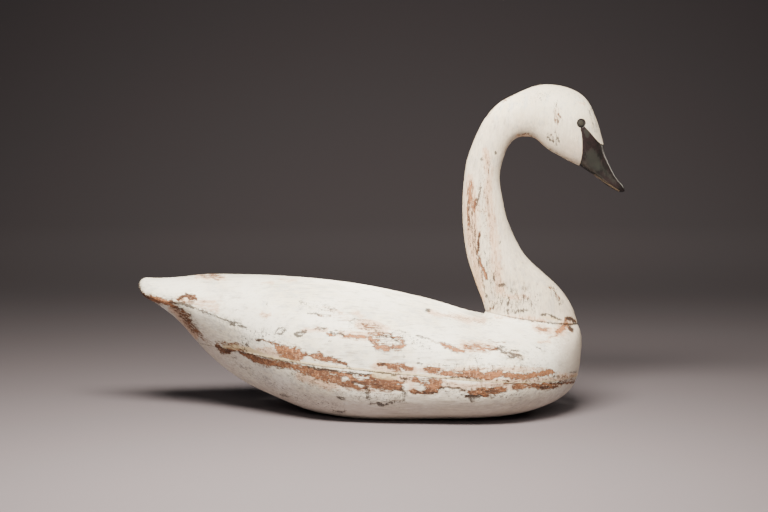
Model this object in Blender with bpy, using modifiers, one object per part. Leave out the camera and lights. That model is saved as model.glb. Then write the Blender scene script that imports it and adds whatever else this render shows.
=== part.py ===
"""Carved wooden swan decoy at its real size: metres, +Z up, the bill towards +X.

The decoy is five pieces: an upper and a lower body block that meet along a sloping seam, a neck and
head carved in one piece that stands on a flat seat over the breast, and a domed tack for each eye.
The origin is on the floor, below the middle of the overall length.
"""

import math
from typing import NamedTuple

import bmesh
import bpy
from mathutils import Vector
from mathutils.bvhtree import BVHTree

MM = 0.001

# Driving dimensions, the first in millimetres as the stations are
HALF_LENGTH = 419
TOUCH_GAP = 0.3 * MM
FLOOR_Z = 0.0

# The seam between the body blocks: a plane that drops towards the breast, and its height at x = 0
SEAM_HEIGHT = 95 * MM
SEAM_SLOPE = -0.085

# The flat seat that the neck stands on, sloping down towards the breast
SEAT_REAR_X = 183 * MM
SEAT_REAR_Z = 176.5 * MM
SEAT_SLOPE = -0.135
NECK_STUB_STATIONS = 4

# The eyes
EYE_X = 339.5 * MM
EYE_Z = 503.5 * MM
EYE_SOCKET_RADIUS = 6.5 * MM
EYE_SOCKET_DEPTH = 1.6 * MM
TACK_RADIUS = 6.0 * MM
TACK_RIM = 0.9 * MM
TACK_CROWN = 2.2 * MM

# How finely the carved surfaces are faceted
BODY_RINGS_PER_STATION = 3
BODY_RING_POINTS = 36
HEAD_RINGS_PER_STATION = 3
HEAD_RING_POINTS = 24
SMOOTH_ANGLE = math.radians(40)


class Station(NamedTuple):
    """One hand-shaped section of a carving, across its length.

    upper and lower are its highest and lowest point in the middle plane, as (x, z). half_width is
    its half breadth, found at the share widest of the way from lower to upper. crown and bilge say
    how square its upper and lower halves are: 2 is an ellipse, and more is boxier.
    """

    place: str
    upper: tuple
    lower: tuple
    half_width: float
    widest: float = 0.5
    crown: float = 2.0
    bilge: float = 2.0


def upright(place, x, back, keel, half_width, widest, crown=2.0, bilge=2.0):
    """A station whose section stands upright at x, as all those of the body do, in millimetres."""
    return Station(place, (x, back), (x, keel), half_width, widest, crown, bilge)


# Millimetres, from the tail tip to the breast. The floor later cuts the keel flat.
BODY_STATIONS = [
    upright("tail tip", -HALF_LENGTH, 222, 218, 1, 0.5),
    upright("tail end", -415.5, 230.5, 212, 15, 0.4),
    upright("tail corner", -407, 234.5, 202, 26, 0.3),
    upright("tail blade", -384, 234, 188, 36, 0.33, 2.0, 1.7),
    upright("tail root", -349, 235.5, 157.5, 46, 0.5, 2.0, 1.3),
    upright("undertail", -299, 240.5, 101, 58, 0.585, 2.0, 1.2),
    upright("stern", -244, 240, 57, 76, 0.585, 2.05, 1.3),
    upright("stern quarter", -175, 237, 23, 107, 0.53, 2.1, 1.7),
    upright("after body", -106, 230.8, 1.5, 131, 0.5, 2.15, 2.2),
    upright("midships", -19, 218.3, -6, 142, 0.5, 2.2, 2.7),
    upright("fore body", 81, 195.5, -5, 150, 0.5, 2.2, 2.65),
    upright("shoulders", 161, 172, -2, 154, 0.52, 2.2, 2.65),
    upright("neck seat", 226, 164, 3, 140, 0.53, 2.1, 2.6),
    upright("breast", 286, 159, 16.5, 99, 0.52, 2.1, 2.5),
    upright("breast swell", 323, 157, 36.5, 57, 0.55, 2.0, 2.2),
    upright("breast front", 340, 151, 63, 26, 0.6),
    upright("breast tip", 346.5, 134, 110, 3, 0.5),
]

# Millimetres, from inside the body up the neck, over the crown and down to the bill tip
HEAD_STATIONS = [
    Station("neck root", (197, 130), (327, 112), 52),
    Station("body's neck stub", (185, 160), (337, 144), 46),
    Station("neck foot", (180, 179), (336, 166), 40),
    Station("neck spread", (173.5, 200), (325, 192.5), 38),
    Station("lower neck", (165, 222), (304, 220.5), 35.5),
    Station("neck", (148, 275), (247, 275), 31),
    Station("middle neck", (140.6, 328), (219, 329), 28),
    Station("neck waist", (139.6, 375), (207.5, 374), 26.5),
    Station("neck hollow", (142.8, 414), (203, 412), 26),
    Station("upper neck", (149, 446), (211, 446), 26),
    Station("neck bend", (172, 500.5), (219.5, 464), 26.5),
    Station("upper bend", (197, 532), (230, 474.5), 28),
    Station("nape", (226, 549.5), (244, 479.3), 29.5),
    Station("hind crown", (267, 566), (263, 476), 32),
    Station("crown", (309, 564.7), (285, 457.3), 34),
    Station("brow", (345, 547.5), (309, 443.5), 33.5),
    Station("eye", (367, 512), (327, 434), 30.5),
    Station("forehead", (379, 472), (339.5, 428), 25),
    Station("bill base", (383.5, 451), (351, 420.5), 20.5, 0.5, 2.3, 2.3),
    Station("bill", (391.5, 432), (365, 411.5), 17.5, 0.5, 2.6, 2.3),
    Station("bill waist", (403, 410), (383, 397), 15.5, 0.5, 2.8, 2.2),
    Station("bill nail", (414, 397), (400, 386.5), 12, 0.5, 2.4, 2.2),
    Station("bill end", (418, 389), (411, 382.5), 7),
    Station("bill tip", (HALF_LENGTH, 386), (417, 383), 1),
]


def hermite(before, start, end, after, knots, share):
    """One number on the smooth curve between start and end, at that share of the way between them."""
    k0, k1, k2, k3 = knots
    span = k2 - k1
    slope_start = (end - before) / (k2 - k0)
    slope_end = (after - start) / (k3 - k1)
    s2, s3 = share * share, share**3
    return (
        (2 * s3 - 3 * s2 + 1) * start
        + (s3 - 2 * s2 + share) * span * slope_start
        + (3 * s2 - 2 * s3) * end
        + (s3 - s2) * span * slope_end
    )


def station_numbers(station):
    """The station's numbers in one row, lengths in metres."""
    (ux, uz), (lx, lz) = station.upper, station.lower
    lengths = [ux, uz, lx, lz, station.half_width]
    return [value * MM for value in lengths] + [station.widest, station.crown, station.bilge]


def faired(stations, rings_per_station):
    """Rows of station numbers on smooth curves through the stations, as a batten would fair them."""
    rows = [station_numbers(station) for station in stations]
    knots = [0.0]
    for here, there in zip(rows, rows[1:]):
        step = math.dist(here[:5], there[:5])
        knots.append(knots[-1] + math.sqrt(step))
    rows = [rows[0]] + rows + [rows[-1]]
    knots = [2 * knots[0] - knots[1]] + knots + [2 * knots[-1] - knots[-2]]
    found = []
    for i in range(1, len(rows) - 2):
        for part in range(rings_per_station):
            share = part / rings_per_station
            near, spans = rows[i - 1 : i + 3], knots[i - 1 : i + 3]
            found.append([hermite(*values, spans, share) for values in zip(*near)])
    return found + [rows[-2]]


def ring_points(row, count):
    """The points round one section, anticlockwise from its +Y side as seen from +X."""
    ux, uz, lx, lz, half_width, widest, crown, bilge = row
    points = []
    for i in range(count):
        angle = 2 * math.pi * i / count
        across, along = math.cos(angle), math.sin(angle)
        power = 2 / (crown if along > 0 else bilge)
        y = half_width * math.copysign(abs(across) ** power, across)
        rise = math.copysign(abs(along) ** power, along)
        share = widest + rise * ((1 - widest) if rise > 0 else widest)
        points.append(Vector((lx + share * (ux - lx), y, lz + share * (uz - lz))))
    return points


def loft(stations, rings_per_station, ring_count):
    """A closed skin over the stations' sections, its two small ends capped, as a bmesh."""
    bm = bmesh.new()
    rings = []
    for row in faired(stations, rings_per_station):
        rings.append([bm.verts.new(p) for p in ring_points(row, ring_count)])
    for near, far in zip(rings, rings[1:]):
        for i in range(ring_count):
            j = (i + 1) % ring_count
            bm.faces.new((near[i], far[i], far[j], near[j]))
    bm.faces.new(rings[0])
    bm.faces.new(reversed(rings[-1]))
    bmesh.ops.recalc_face_normals(bm, faces=bm.faces)
    return bm


def cut_flat(bm, point, normal):
    """Cuts away what lies on the normal's side of a plane and closes the cut with a flat face."""
    geometry = bm.verts[:] + bm.edges[:] + bm.faces[:]
    cut = bmesh.ops.bisect_plane(
        bm, geom=geometry, dist=1e-6, plane_co=point, plane_no=normal, clear_outer=True
    )
    rim = [item for item in cut["geom_cut"] if isinstance(item, bmesh.types.BMEdge)]
    bmesh.ops.contextual_create(bm, geom=rim)
    bmesh.ops.recalc_face_normals(bm, faces=bm.faces)


def plane_height(x, x0, z0, slope):
    """Height at x of a plane that crosses the middle plane in a sloping line."""
    return z0 + slope * (x - x0)


def plane_normal(slope):
    """Upward normal of a plane that slopes along X only."""
    return Vector((-slope, 0, 1)).normalized()


def plain_material(name, colour, roughness, metallic=0.0):
    """A material with one colour, roughness and metallic value."""
    material = bpy.data.materials.new(name)
    material.use_nodes = True
    shader = material.node_tree.nodes["Principled BSDF"]
    shader.inputs["Base Color"].default_value = (*colour, 1)
    shader.inputs["Roughness"].default_value = roughness
    shader.inputs["Metallic"].default_value = metallic
    return material


def add_object(name, bm, collection, *materials):
    """Makes an object of a bmesh, smooth but for its sharp corners."""
    mesh = bpy.data.meshes.new(name)
    bm.to_mesh(mesh)
    bm.free()
    mesh.shade_smooth()
    mesh.set_sharp_from_angle(angle=SMOOTH_ANGLE)
    for material in materials:
        mesh.materials.append(material)
    made = bpy.data.objects.new(name, mesh)
    collection.objects.link(made)
    return made


def add_cutter(name, bm, collection):
    """Makes a guide object that only cuts others, drawn as wire."""
    cutter = add_object(name, bm, collection)
    cutter.hide_render = True
    cutter.display_type = "WIRE"
    return cutter


def combine(target, guide, operation):
    """Joins a guide object to the target, or cuts it out, with a live Boolean modifier."""
    change = target.modifiers.new(operation.lower() + " " + guide.name, "BOOLEAN")
    change.operation = operation
    change.solver = "EXACT"
    change.object = guide


def body_half(name, keep_upper, collection, material):
    """One body block: the carved body on one side of the seam."""
    bm = loft(BODY_STATIONS, BODY_RINGS_PER_STATION, BODY_RING_POINTS)
    side = 1 if keep_upper else -1
    normal = plane_normal(SEAM_SLOPE) * side
    at_seam = Vector((0, 0, SEAM_HEIGHT)) + normal * (TOUCH_GAP / 2)
    cut_flat(bm, at_seam, -normal)
    if not keep_upper:
        cut_flat(bm, Vector((0, 0, FLOOR_Z)), Vector((0, 0, -1)))
    return add_object(name, bm, collection, material)


def neck_loft(stations):
    """The carved skin over some of the neck and head's stations."""
    return loft(stations, HEAD_RINGS_PER_STATION, HEAD_RING_POINTS)


def neck_seat_cutter(collection):
    """A wedge-ended block whose underside is the flat seat that the neck stands on."""
    rear, length, breadth, height = 150 * MM, 250 * MM, 240 * MM, 90 * MM
    bm = bmesh.new()
    bmesh.ops.create_cube(bm, size=1.0)
    for vert in bm.verts:
        x = rear + (vert.co.x + 0.5) * length
        seat = plane_height(x, SEAT_REAR_X, SEAT_REAR_Z, SEAT_SLOPE)
        vert.co = Vector((x, vert.co.y * breadth, seat + (vert.co.z + 0.5) * height))
    return add_cutter("neck_seat_cutter", bm, collection)


def neck_and_head(collection, paint, bill_paint):
    """The neck, head and bill, carved in one piece and sawn flat where it stands on the seat."""
    bm = neck_loft(HEAD_STATIONS)
    seat = Vector((SEAT_REAR_X, 0, SEAT_REAR_Z + TOUCH_GAP))
    cut_flat(bm, seat, -plane_normal(SEAT_SLOPE))
    return add_object("neck_and_head", bm, collection, paint, bill_paint)


def paint_bill(head):
    """Gives the bill and the bare skin that runs back to the eye their own paint."""
    eye = Vector((EYE_X, 0, EYE_Z))
    brow = Vector((381 * MM, 0, 464 * MM))
    edge = brow - eye
    for face in head.data.polygons:
        centre = face.center
        below_brow = edge.x * (centre.z - eye.z) - edge.z * (centre.x - eye.x) < 0
        if centre.x > EYE_X and below_brow:
            face.material_index = 1


def eye_seat(head, side):
    """Point and outward direction of the head's surface at the eye, on the side +1 or -1 of Y."""
    tree = BVHTree.FromPolygons(
        [v.co for v in head.data.vertices], [p.vertices[:] for p in head.data.polygons]
    )
    start = Vector((EYE_X, side * 100 * MM, EYE_Z))
    point, normal, _, _ = tree.ray_cast(start, Vector((0, -side, 0)))
    return point, normal


def eye_socket_cutter(name, point, outward, collection):
    """A short cylinder that sinks the eye's round socket into the head."""
    depth = 4 * EYE_SOCKET_DEPTH
    bm = bmesh.new()
    bmesh.ops.create_cone(
        bm,
        cap_ends=True,
        segments=20,
        radius1=EYE_SOCKET_RADIUS,
        radius2=EYE_SOCKET_RADIUS,
        depth=depth,
    )
    cutter = add_cutter(name, bm, collection)
    cutter.location = point + outward * (depth / 2 - EYE_SOCKET_DEPTH)
    cutter.rotation_mode = "QUATERNION"
    cutter.rotation_quaternion = outward.to_track_quat("Z", "Y")
    return cutter


def eye_tack(name, point, outward, collection, material):
    """A domed tack head, turned about its own axis, resting in its socket."""
    dome_steps = 4
    foot = -EYE_SOCKET_DEPTH + TOUCH_GAP
    profile = [(0.0, foot + TACK_RIM + TACK_CROWN)]
    for i in range(1, dome_steps + 1):
        angle = math.pi / 2 * i / dome_steps
        profile.append(
            (TACK_RADIUS * math.sin(angle), foot + TACK_RIM + TACK_CROWN * math.cos(angle))
        )
    profile += [(TACK_RADIUS, foot), (0.0, foot)]
    bm = bmesh.new()
    verts = [bm.verts.new((x, 0, z)) for x, z in profile]
    for near, far in zip(verts, verts[1:]):
        bm.edges.new((near, far))
    tack = add_object(name, bm, collection, material)
    turn = tack.modifiers.new("turned", "SCREW")
    turn.steps = turn.render_steps = 20
    turn.use_merge_vertices = True
    turn.merge_threshold = 0.00001
    turn.use_smooth_shade = True
    tack.location = point
    tack.rotation_mode = "QUATERNION"
    tack.rotation_quaternion = outward.to_track_quat("Z", "Y")
    return tack


def new_collection(name):
    """A collection linked to the scene."""
    made = bpy.data.collections.new(name)
    bpy.context.scene.collection.children.link(made)
    return made


def build_swan():
    """Builds the whole decoy."""
    for old in list(bpy.data.objects):
        bpy.data.objects.remove(old, do_unlink=True)
    swan = new_collection("swan_decoy")
    cutters = new_collection("cutters")
    white = plain_material("weathered white paint", (0.78, 0.75, 0.68), 0.5)
    black = plain_material("worn black paint", (0.035, 0.034, 0.032), 0.45)
    iron = plain_material("blackened tack", (0.05, 0.048, 0.042), 0.4, 0.6)

    upper = body_half("upper_body", True, swan, white)
    body_half("lower_body", False, swan, white)
    stub = add_cutter("neck_stub", neck_loft(HEAD_STATIONS[:NECK_STUB_STATIONS]), cutters)
    combine(upper, stub, "UNION")
    combine(upper, neck_seat_cutter(cutters), "DIFFERENCE")

    head = neck_and_head(swan, white, black)
    paint_bill(head)
    for side, which in ((1, "left"), (-1, "right")):
        point, outward = eye_seat(head, side)
        socket = eye_socket_cutter(which + "_eye_socket", point, outward, cutters)
        combine(head, socket, "DIFFERENCE")
        eye_tack(which + "_eye_tack", point, outward, swan, iron)


build_swan()
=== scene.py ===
"""The carved swan decoy at full finish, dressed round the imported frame.

Each wooden block is carved again from a finely cut billet over the same stations as the frame's solids,
then relieved and worn where the photograph shows it. Lengths are metres unless a name says otherwise.
"""

import logging
import math
from dataclasses import dataclass, field
from enum import Enum
from typing import Any, Callable, Iterable, NamedTuple, Sequence

import bmesh
import bpy
import numpy as np
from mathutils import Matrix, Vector


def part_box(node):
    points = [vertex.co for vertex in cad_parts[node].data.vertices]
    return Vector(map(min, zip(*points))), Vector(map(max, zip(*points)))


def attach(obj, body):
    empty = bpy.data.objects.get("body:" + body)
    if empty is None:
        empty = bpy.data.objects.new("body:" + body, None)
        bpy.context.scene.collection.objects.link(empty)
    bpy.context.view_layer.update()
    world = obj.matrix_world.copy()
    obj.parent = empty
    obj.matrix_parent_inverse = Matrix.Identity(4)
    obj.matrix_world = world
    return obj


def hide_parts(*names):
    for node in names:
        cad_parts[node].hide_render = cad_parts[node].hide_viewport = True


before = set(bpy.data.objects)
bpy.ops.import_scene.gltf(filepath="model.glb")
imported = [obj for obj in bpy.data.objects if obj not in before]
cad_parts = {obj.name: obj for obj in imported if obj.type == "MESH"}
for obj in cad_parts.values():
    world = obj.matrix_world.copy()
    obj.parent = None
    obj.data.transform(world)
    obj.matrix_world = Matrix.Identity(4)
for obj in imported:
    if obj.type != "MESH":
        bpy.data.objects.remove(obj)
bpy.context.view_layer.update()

BODY = "root"
MM = 0.001
LOG = logging.getLogger("swan")

# The blocks meet on two sloping planes, and everything stands on the floor
HALF_LENGTH = 419
TOUCH_GAP = 0.3 * MM
SEAM_HEIGHT = 95 * MM
SEAM_SLOPE = -0.085
SEAT_REAR_X = 183 * MM
SEAT_REAR_Z = 176.5 * MM
SEAT_SLOPE = -0.135

# Ahead of this the seam shows as a joint, and above this height points can lie on the neck's seat
SEAM_STERN_X = -310 * MM
SEAT_LOWEST_Z = 140 * MM
SEAM_HOLLOW = 1.1 * MM

# The eyes
EYE_X = 339.5 * MM
EYE_Z = 503.5 * MM
SOCKET_RADIUS = 6.6 * MM
SOCKET_DEPTH = 1.6 * MM
TACK_RADIUS = 6.0 * MM
TACK_RIM = 0.9 * MM
TACK_CROWN = 1.9 * MM


class Station(NamedTuple):
    """One section of a carving, in millimetres, as the frame's solids have it."""

    place: str
    upper: tuple[float, float]
    lower: tuple[float, float]
    half_width: float
    widest: float = 0.5
    crown: float = 2.0
    bilge: float = 2.0


def upright(
    place: str, x: float, back: float, keel: float, half_width: float, widest: float,
    crown: float = 2.0, bilge: float = 2.0,
) -> Station:
    """A body station, whose section stands upright at x."""
    return Station(place, (x, back), (x, keel), half_width, widest, crown, bilge)


BODY_STATIONS = (
    upright("tail tip", -HALF_LENGTH, 222, 218, 1, 0.5),
    upright("tail end", -415.5, 230.5, 212, 15, 0.4),
    upright("tail corner", -407, 234.5, 202, 26, 0.3),
    upright("tail blade", -384, 234, 188, 36, 0.33, 2.0, 1.7),
    upright("tail root", -349, 235.5, 157.5, 46, 0.5, 2.0, 1.3),
    upright("undertail", -299, 240.5, 101, 58, 0.585, 2.0, 1.2),
    upright("stern", -244, 240, 57, 76, 0.585, 2.05, 1.3),
    upright("stern quarter", -175, 237, 23, 107, 0.53, 2.1, 1.7),
    upright("after body", -106, 230.8, 1.5, 131, 0.5, 2.15, 2.2),
    upright("midships", -19, 218.3, -6, 142, 0.5, 2.2, 2.7),
    upright("fore body", 81, 195.5, -5, 150, 0.5, 2.2, 2.65),
    upright("shoulders", 161, 172, -2, 154, 0.52, 2.2, 2.65),
    upright("neck seat", 226, 164, 3, 140, 0.53, 2.1, 2.6),
    upright("breast", 286, 159, 16.5, 99, 0.52, 2.1, 2.5),
    upright("breast swell", 323, 157, 36.5, 57, 0.55, 2.0, 2.2),
    upright("breast front", 340, 151, 63, 26, 0.6),
    upright("breast tip", 346.5, 134, 110, 3, 0.5),
)

HEAD_STATIONS = (
    Station("neck root", (197, 130), (327, 112), 52),
    Station("body's neck stub", (185, 160), (337, 144), 46),
    Station("neck foot", (180, 179), (336, 166), 40),
    Station("neck spread", (173.5, 200), (325, 192.5), 38),
    Station("lower neck", (165, 222), (304, 220.5), 35.5),
    Station("neck", (148, 275), (247, 275), 31),
    Station("middle neck", (140.6, 328), (219, 329), 28),
    Station("neck waist", (139.6, 375), (207.5, 374), 26.5),
    Station("neck hollow", (142.8, 414), (203, 412), 26),
    Station("upper neck", (149, 446), (211, 446), 26),
    Station("neck bend", (172, 500.5), (219.5, 464), 26.5),
    Station("upper bend", (197, 532), (230, 474.5), 28),
    Station("nape", (226, 549.5), (244, 479.3), 29.5),
    Station("hind crown", (267, 566), (263, 476), 32),
    Station("crown", (309, 564.7), (285, 457.3), 34),
    Station("brow", (345, 547.5), (309, 443.5), 33.5),
    Station("eye", (367, 512), (327, 434), 30.5),
    Station("forehead", (379, 472), (339.5, 428), 25),
    Station("bill base", (383.5, 451), (351, 420.5), 20.5, 0.5, 2.3, 2.3),
    Station("bill", (391.5, 432), (365, 411.5), 17.5, 0.5, 2.6, 2.3),
    Station("bill waist", (403, 410), (383, 397), 15.5, 0.5, 2.8, 2.2),
    Station("bill nail", (414, 397), (400, 386.5), 12, 0.5, 2.4, 2.2),
    Station("bill end", (418, 389), (411, 382.5), 7),
    Station("bill tip", (HALF_LENGTH, 386), (417, 383), 1),
)


# The photograph's viewpoint

@dataclass(frozen=True)
class Viewpoint:
    """Where the photograph was taken from, and where a point of the decoy falls in it.

    Args:
        lens: focal length in millimetres.
        sensor: sensor width in millimetres.
        elevation: angle that the camera looks down, in degrees.
        distance: from the camera to the point that it looks at.
        aim: that point, in the middle plane, as (x, z).
        picture: the picture's width and height in pixels.
    """

    lens: float = 100.0
    sensor: float = 36.0
    elevation: float = 7.0
    distance: float = 3.68
    aim: tuple[float, float] = (0.0045, 0.2725)
    picture: tuple[int, int] = (768, 512)

    @property
    def place(self) -> Vector:
        """The camera's place."""
        tilt = math.radians(self.elevation)
        x, z = self.aim
        return Vector((x, -self.distance * math.cos(tilt), z + self.distance * math.sin(tilt)))

    def pixels(self, points: np.ndarray) -> np.ndarray:
        """Picture coordinates of points.

        Args:
            points: an array of places, one row each.

        Returns:
            Their pixels, across and down, one row each.
        """
        tilt = math.radians(self.elevation)
        ahead = np.array((0.0, math.cos(tilt), -math.sin(tilt)))
        up = np.array((0.0, math.sin(tilt), math.cos(tilt)))
        away = points - np.array(self.place)
        scale = self.lens / self.sensor * self.picture[0] / (away @ ahead)
        across = self.picture[0] / 2 + scale * away[:, 0]
        down = self.picture[1] / 2 - scale * (away @ up)
        return np.stack((across, down), axis=1)

    def set_camera(self) -> None:
        """Puts the scene's camera there."""
        data = bpy.data.cameras.new("photograph")
        data.lens = self.lens
        data.sensor_width = self.sensor
        camera = bpy.data.objects.new("photograph", data)
        camera.location = self.place
        camera.rotation_euler = (math.radians(90 - self.elevation), 0, 0)
        bpy.context.scene.collection.objects.link(camera)
        bpy.context.scene.camera = camera


VIEW = Viewpoint()


# Carving maths

def smooth(value: np.ndarray, low: float, high: float) -> np.ndarray:
    """A soft step from 0 at low to 1 at high."""
    share = np.clip((value - low) / (high - low), 0.0, 1.0)
    return share * share * (3 - 2 * share)


def seam_height(x: np.ndarray) -> np.ndarray:
    """Height of the seam plane between the body blocks."""
    return SEAM_HEIGHT + SEAM_SLOPE * x


def seat_height(x: np.ndarray) -> np.ndarray:
    """Height of the flat seat that the neck stands on."""
    return SEAT_REAR_Z + SEAT_SLOPE * (x - SEAT_REAR_X)


class FairedLines:
    """Smooth lines through a row of stations, which give a section anywhere between them."""

    def __init__(self, stations: Sequence[Station]) -> None:
        """Fairs the lines.

        Args:
            stations: the stations in order.
        """
        rows = []
        for s in stations:
            lengths = np.array((*s.upper, *s.lower, s.half_width)) * MM
            rows.append(np.concatenate((lengths, (s.widest, s.crown, s.bilge))))
        rows = np.array(rows)
        steps = np.sqrt(np.linalg.norm(np.diff(rows[:, :5], axis=0), axis=1))
        knots = np.concatenate(([0.0], np.cumsum(steps)))
        self.rows = np.vstack((rows[:1], rows, rows[-1:]))
        first, last = 2 * knots[0] - knots[1], 2 * knots[-1] - knots[-2]
        self.knots = np.concatenate(([first], knots, [last]))
        self.count = len(stations)

    def at(self, where: np.ndarray) -> np.ndarray:
        """Rows of station numbers.

        Args:
            where: places along the stations, such as 3.5 for half-way from the fourth to the fifth.

        Returns:
            One row for each place: upper x and z, lower x and z, half_width, widest, crown, bilge.
        """
        where = np.clip(where, 0, self.count - 1)
        i = np.minimum(where.astype(int), self.count - 2)
        share = (where - i)[:, None]
        before, start, end, after = (self.rows[i + k] for k in range(4))
        k0, k1, k2, k3 = (self.knots[i + k][:, None] for k in range(4))
        leaving, arriving = (end - before) / (k2 - k0), (after - start) / (k3 - k1)
        s2, s3 = share**2, share**3
        return (
            (2 * s3 - 3 * s2 + 1) * start
            + (s3 - 2 * s2 + share) * (k2 - k1) * leaving
            + (3 * s2 - 2 * s3) * end
            + (s3 - s2) * (k2 - k1) * arriving
        )

    def evenly(self, first: float, last: float, count: int, closer: Callable | None = None) -> np.ndarray:
        """Places between two that lie evenly over the surface.

        Args:
            first: where the places begin.
            last: where they end.
            count: how many.
            closer: gives, for rows of station numbers, how much closer together places lie there.

        Returns:
            The places.
        """
        fine = np.linspace(first, last, 6000)
        rows = self.at(fine)
        moved = np.abs(np.diff(rows[:, :5], axis=0))
        along = np.hypot((moved[:, 0] + moved[:, 2]) / 2, (moved[:, 1] + moved[:, 3]) / 2)
        pace = np.hypot(along, moved[:, 4])
        if closer is not None:
            pace = pace * closer(rows[1:])
        travelled = np.concatenate(([0.0], np.cumsum(pace)))
        return np.interp(np.linspace(0, travelled[-1], count), travelled, fine)


def section_point(rows: np.ndarray, angle: np.ndarray) -> np.ndarray:
    """Points on sections, as the frame's solids have them.

    Args:
        rows: rows of station numbers.
        angle: angles round the section, 0 at its +Y side and a quarter turn at its upper point.

    Returns:
        The points, one row each.
    """
    ux, uz, lx, lz, half_width, widest, crown, bilge = rows.T
    across, rise = np.cos(angle), np.sin(angle)
    power = 2 / np.where(rise > 0, crown, bilge)
    y = half_width * np.sign(across) * np.abs(across) ** power
    rise = np.sign(rise) * np.abs(rise) ** power
    share = widest + rise * np.where(rise > 0, 1 - widest, widest)
    return np.stack((lx + share * (ux - lx), y, lz + share * (uz - lz)), axis=1)


def spread(
    points: np.ndarray, angles: np.ndarray, shares: np.ndarray, pace: np.ndarray | float = 1.0
) -> np.ndarray:
    """Angles that stand at even shares of the way along a curve.

    Args:
        points: the curve, finely sampled.
        angles: the angle at each sample.
        shares: shares of the curve's length, from 0 to 1.
        pace: how close together places lie on each step of the curve.

    Returns:
        The angles at those shares.
    """
    steps = np.linalg.norm(np.diff(points, axis=0), axis=1) * pace
    travelled = np.concatenate(([0.0], np.cumsum(steps)))
    return np.interp(shares * travelled[-1], travelled, angles)


def ripple(points: np.ndarray, length: float, seed: int) -> np.ndarray:
    """Gentle uneven waves, such as a spokeshave leaves, from -1 to 1 or so.

    Args:
        points: places, one row each.
        length: the waves' length.
        seed: which waves.

    Returns:
        The height of the waves at each place.
    """
    rng = np.random.default_rng(seed)
    height = np.zeros(len(points))
    for _ in range(7):
        way = rng.normal(size=3)
        way /= np.linalg.norm(way)
        turns = 2 * math.pi / (length * rng.uniform(0.7, 1.6))
        height += np.sin(points @ way * turns + rng.uniform(0, 2 * math.pi))
    return height / 3.5


def along_line(points: np.ndarray, spine: np.ndarray) -> tuple[np.ndarray, np.ndarray]:
    """How far points lie from a line of straight runs.

    Args:
        points: flat points, one row each.
        spine: the line's points, each with a half breadth as its third number.

    Returns:
        The distance of each point, and the line's half breadth where it is nearest.
    """
    nearest = np.full(len(points), 1e9)
    breadth = np.ones(len(points))
    for start, end in zip(spine, spine[1:]):
        run = end[:2] - start[:2]
        share = np.clip((points - start[:2]) @ run / (run @ run), 0.0, 1.0)
        off = np.linalg.norm(points - start[:2] - share[:, None] * run, axis=1)
        closer = off < nearest
        nearest = np.where(closer, off, nearest)
        breadth = np.where(closer, start[2] + share * (end[2] - start[2]), breadth)
    return nearest, breadth


def side_of_line(points: np.ndarray, line: np.ndarray) -> np.ndarray:
    """Signed distance of flat points from a closed outline.

    Args:
        points: flat points, one row each.
        line: the outline's corners in order.

    Returns:
        The distances, above 0 inside the outline.
    """
    inside = np.zeros(len(points), dtype=bool)
    for (x0, z0), (x1, z1) in zip(line, np.roll(line, -1, axis=0)):
        straddles = (z0 > points[:, 1]) != (z1 > points[:, 1])
        crossing = x0 + (points[:, 1] - z0) * (x1 - x0) / ((z1 - z0) or 1e-12)
        inside ^= straddles & (points[:, 0] < crossing)
    closed = np.vstack((line, line[:1]))
    spine = np.column_stack((closed, np.ones(len(closed))))
    distance, _ = along_line(points, spine)
    return np.where(inside, distance, -distance)


# Wear: each mark is a line in the photograph's pixels, as (across, down, half breadth) at each point

class Wear(Enum):
    """What has happened to the paint at a mark."""

    BARE = "bare"
    THIN = "thin"
    DARK = "dark"
    FILLED = "filled"
    KEPT = "kept"
    COMBED = "combed"
    RUBBED = "rubbed"


class Mark(NamedTuple):
    """One mark of wear, placed on the side that the photograph shows.

    kind is what has happened, strength how surely from 0 to 1, and warm how orange the bare wood is.
    """

    kind: Wear
    strength: float
    spine: tuple[tuple[float, float, float], ...]
    warm: float = 0.4


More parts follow.
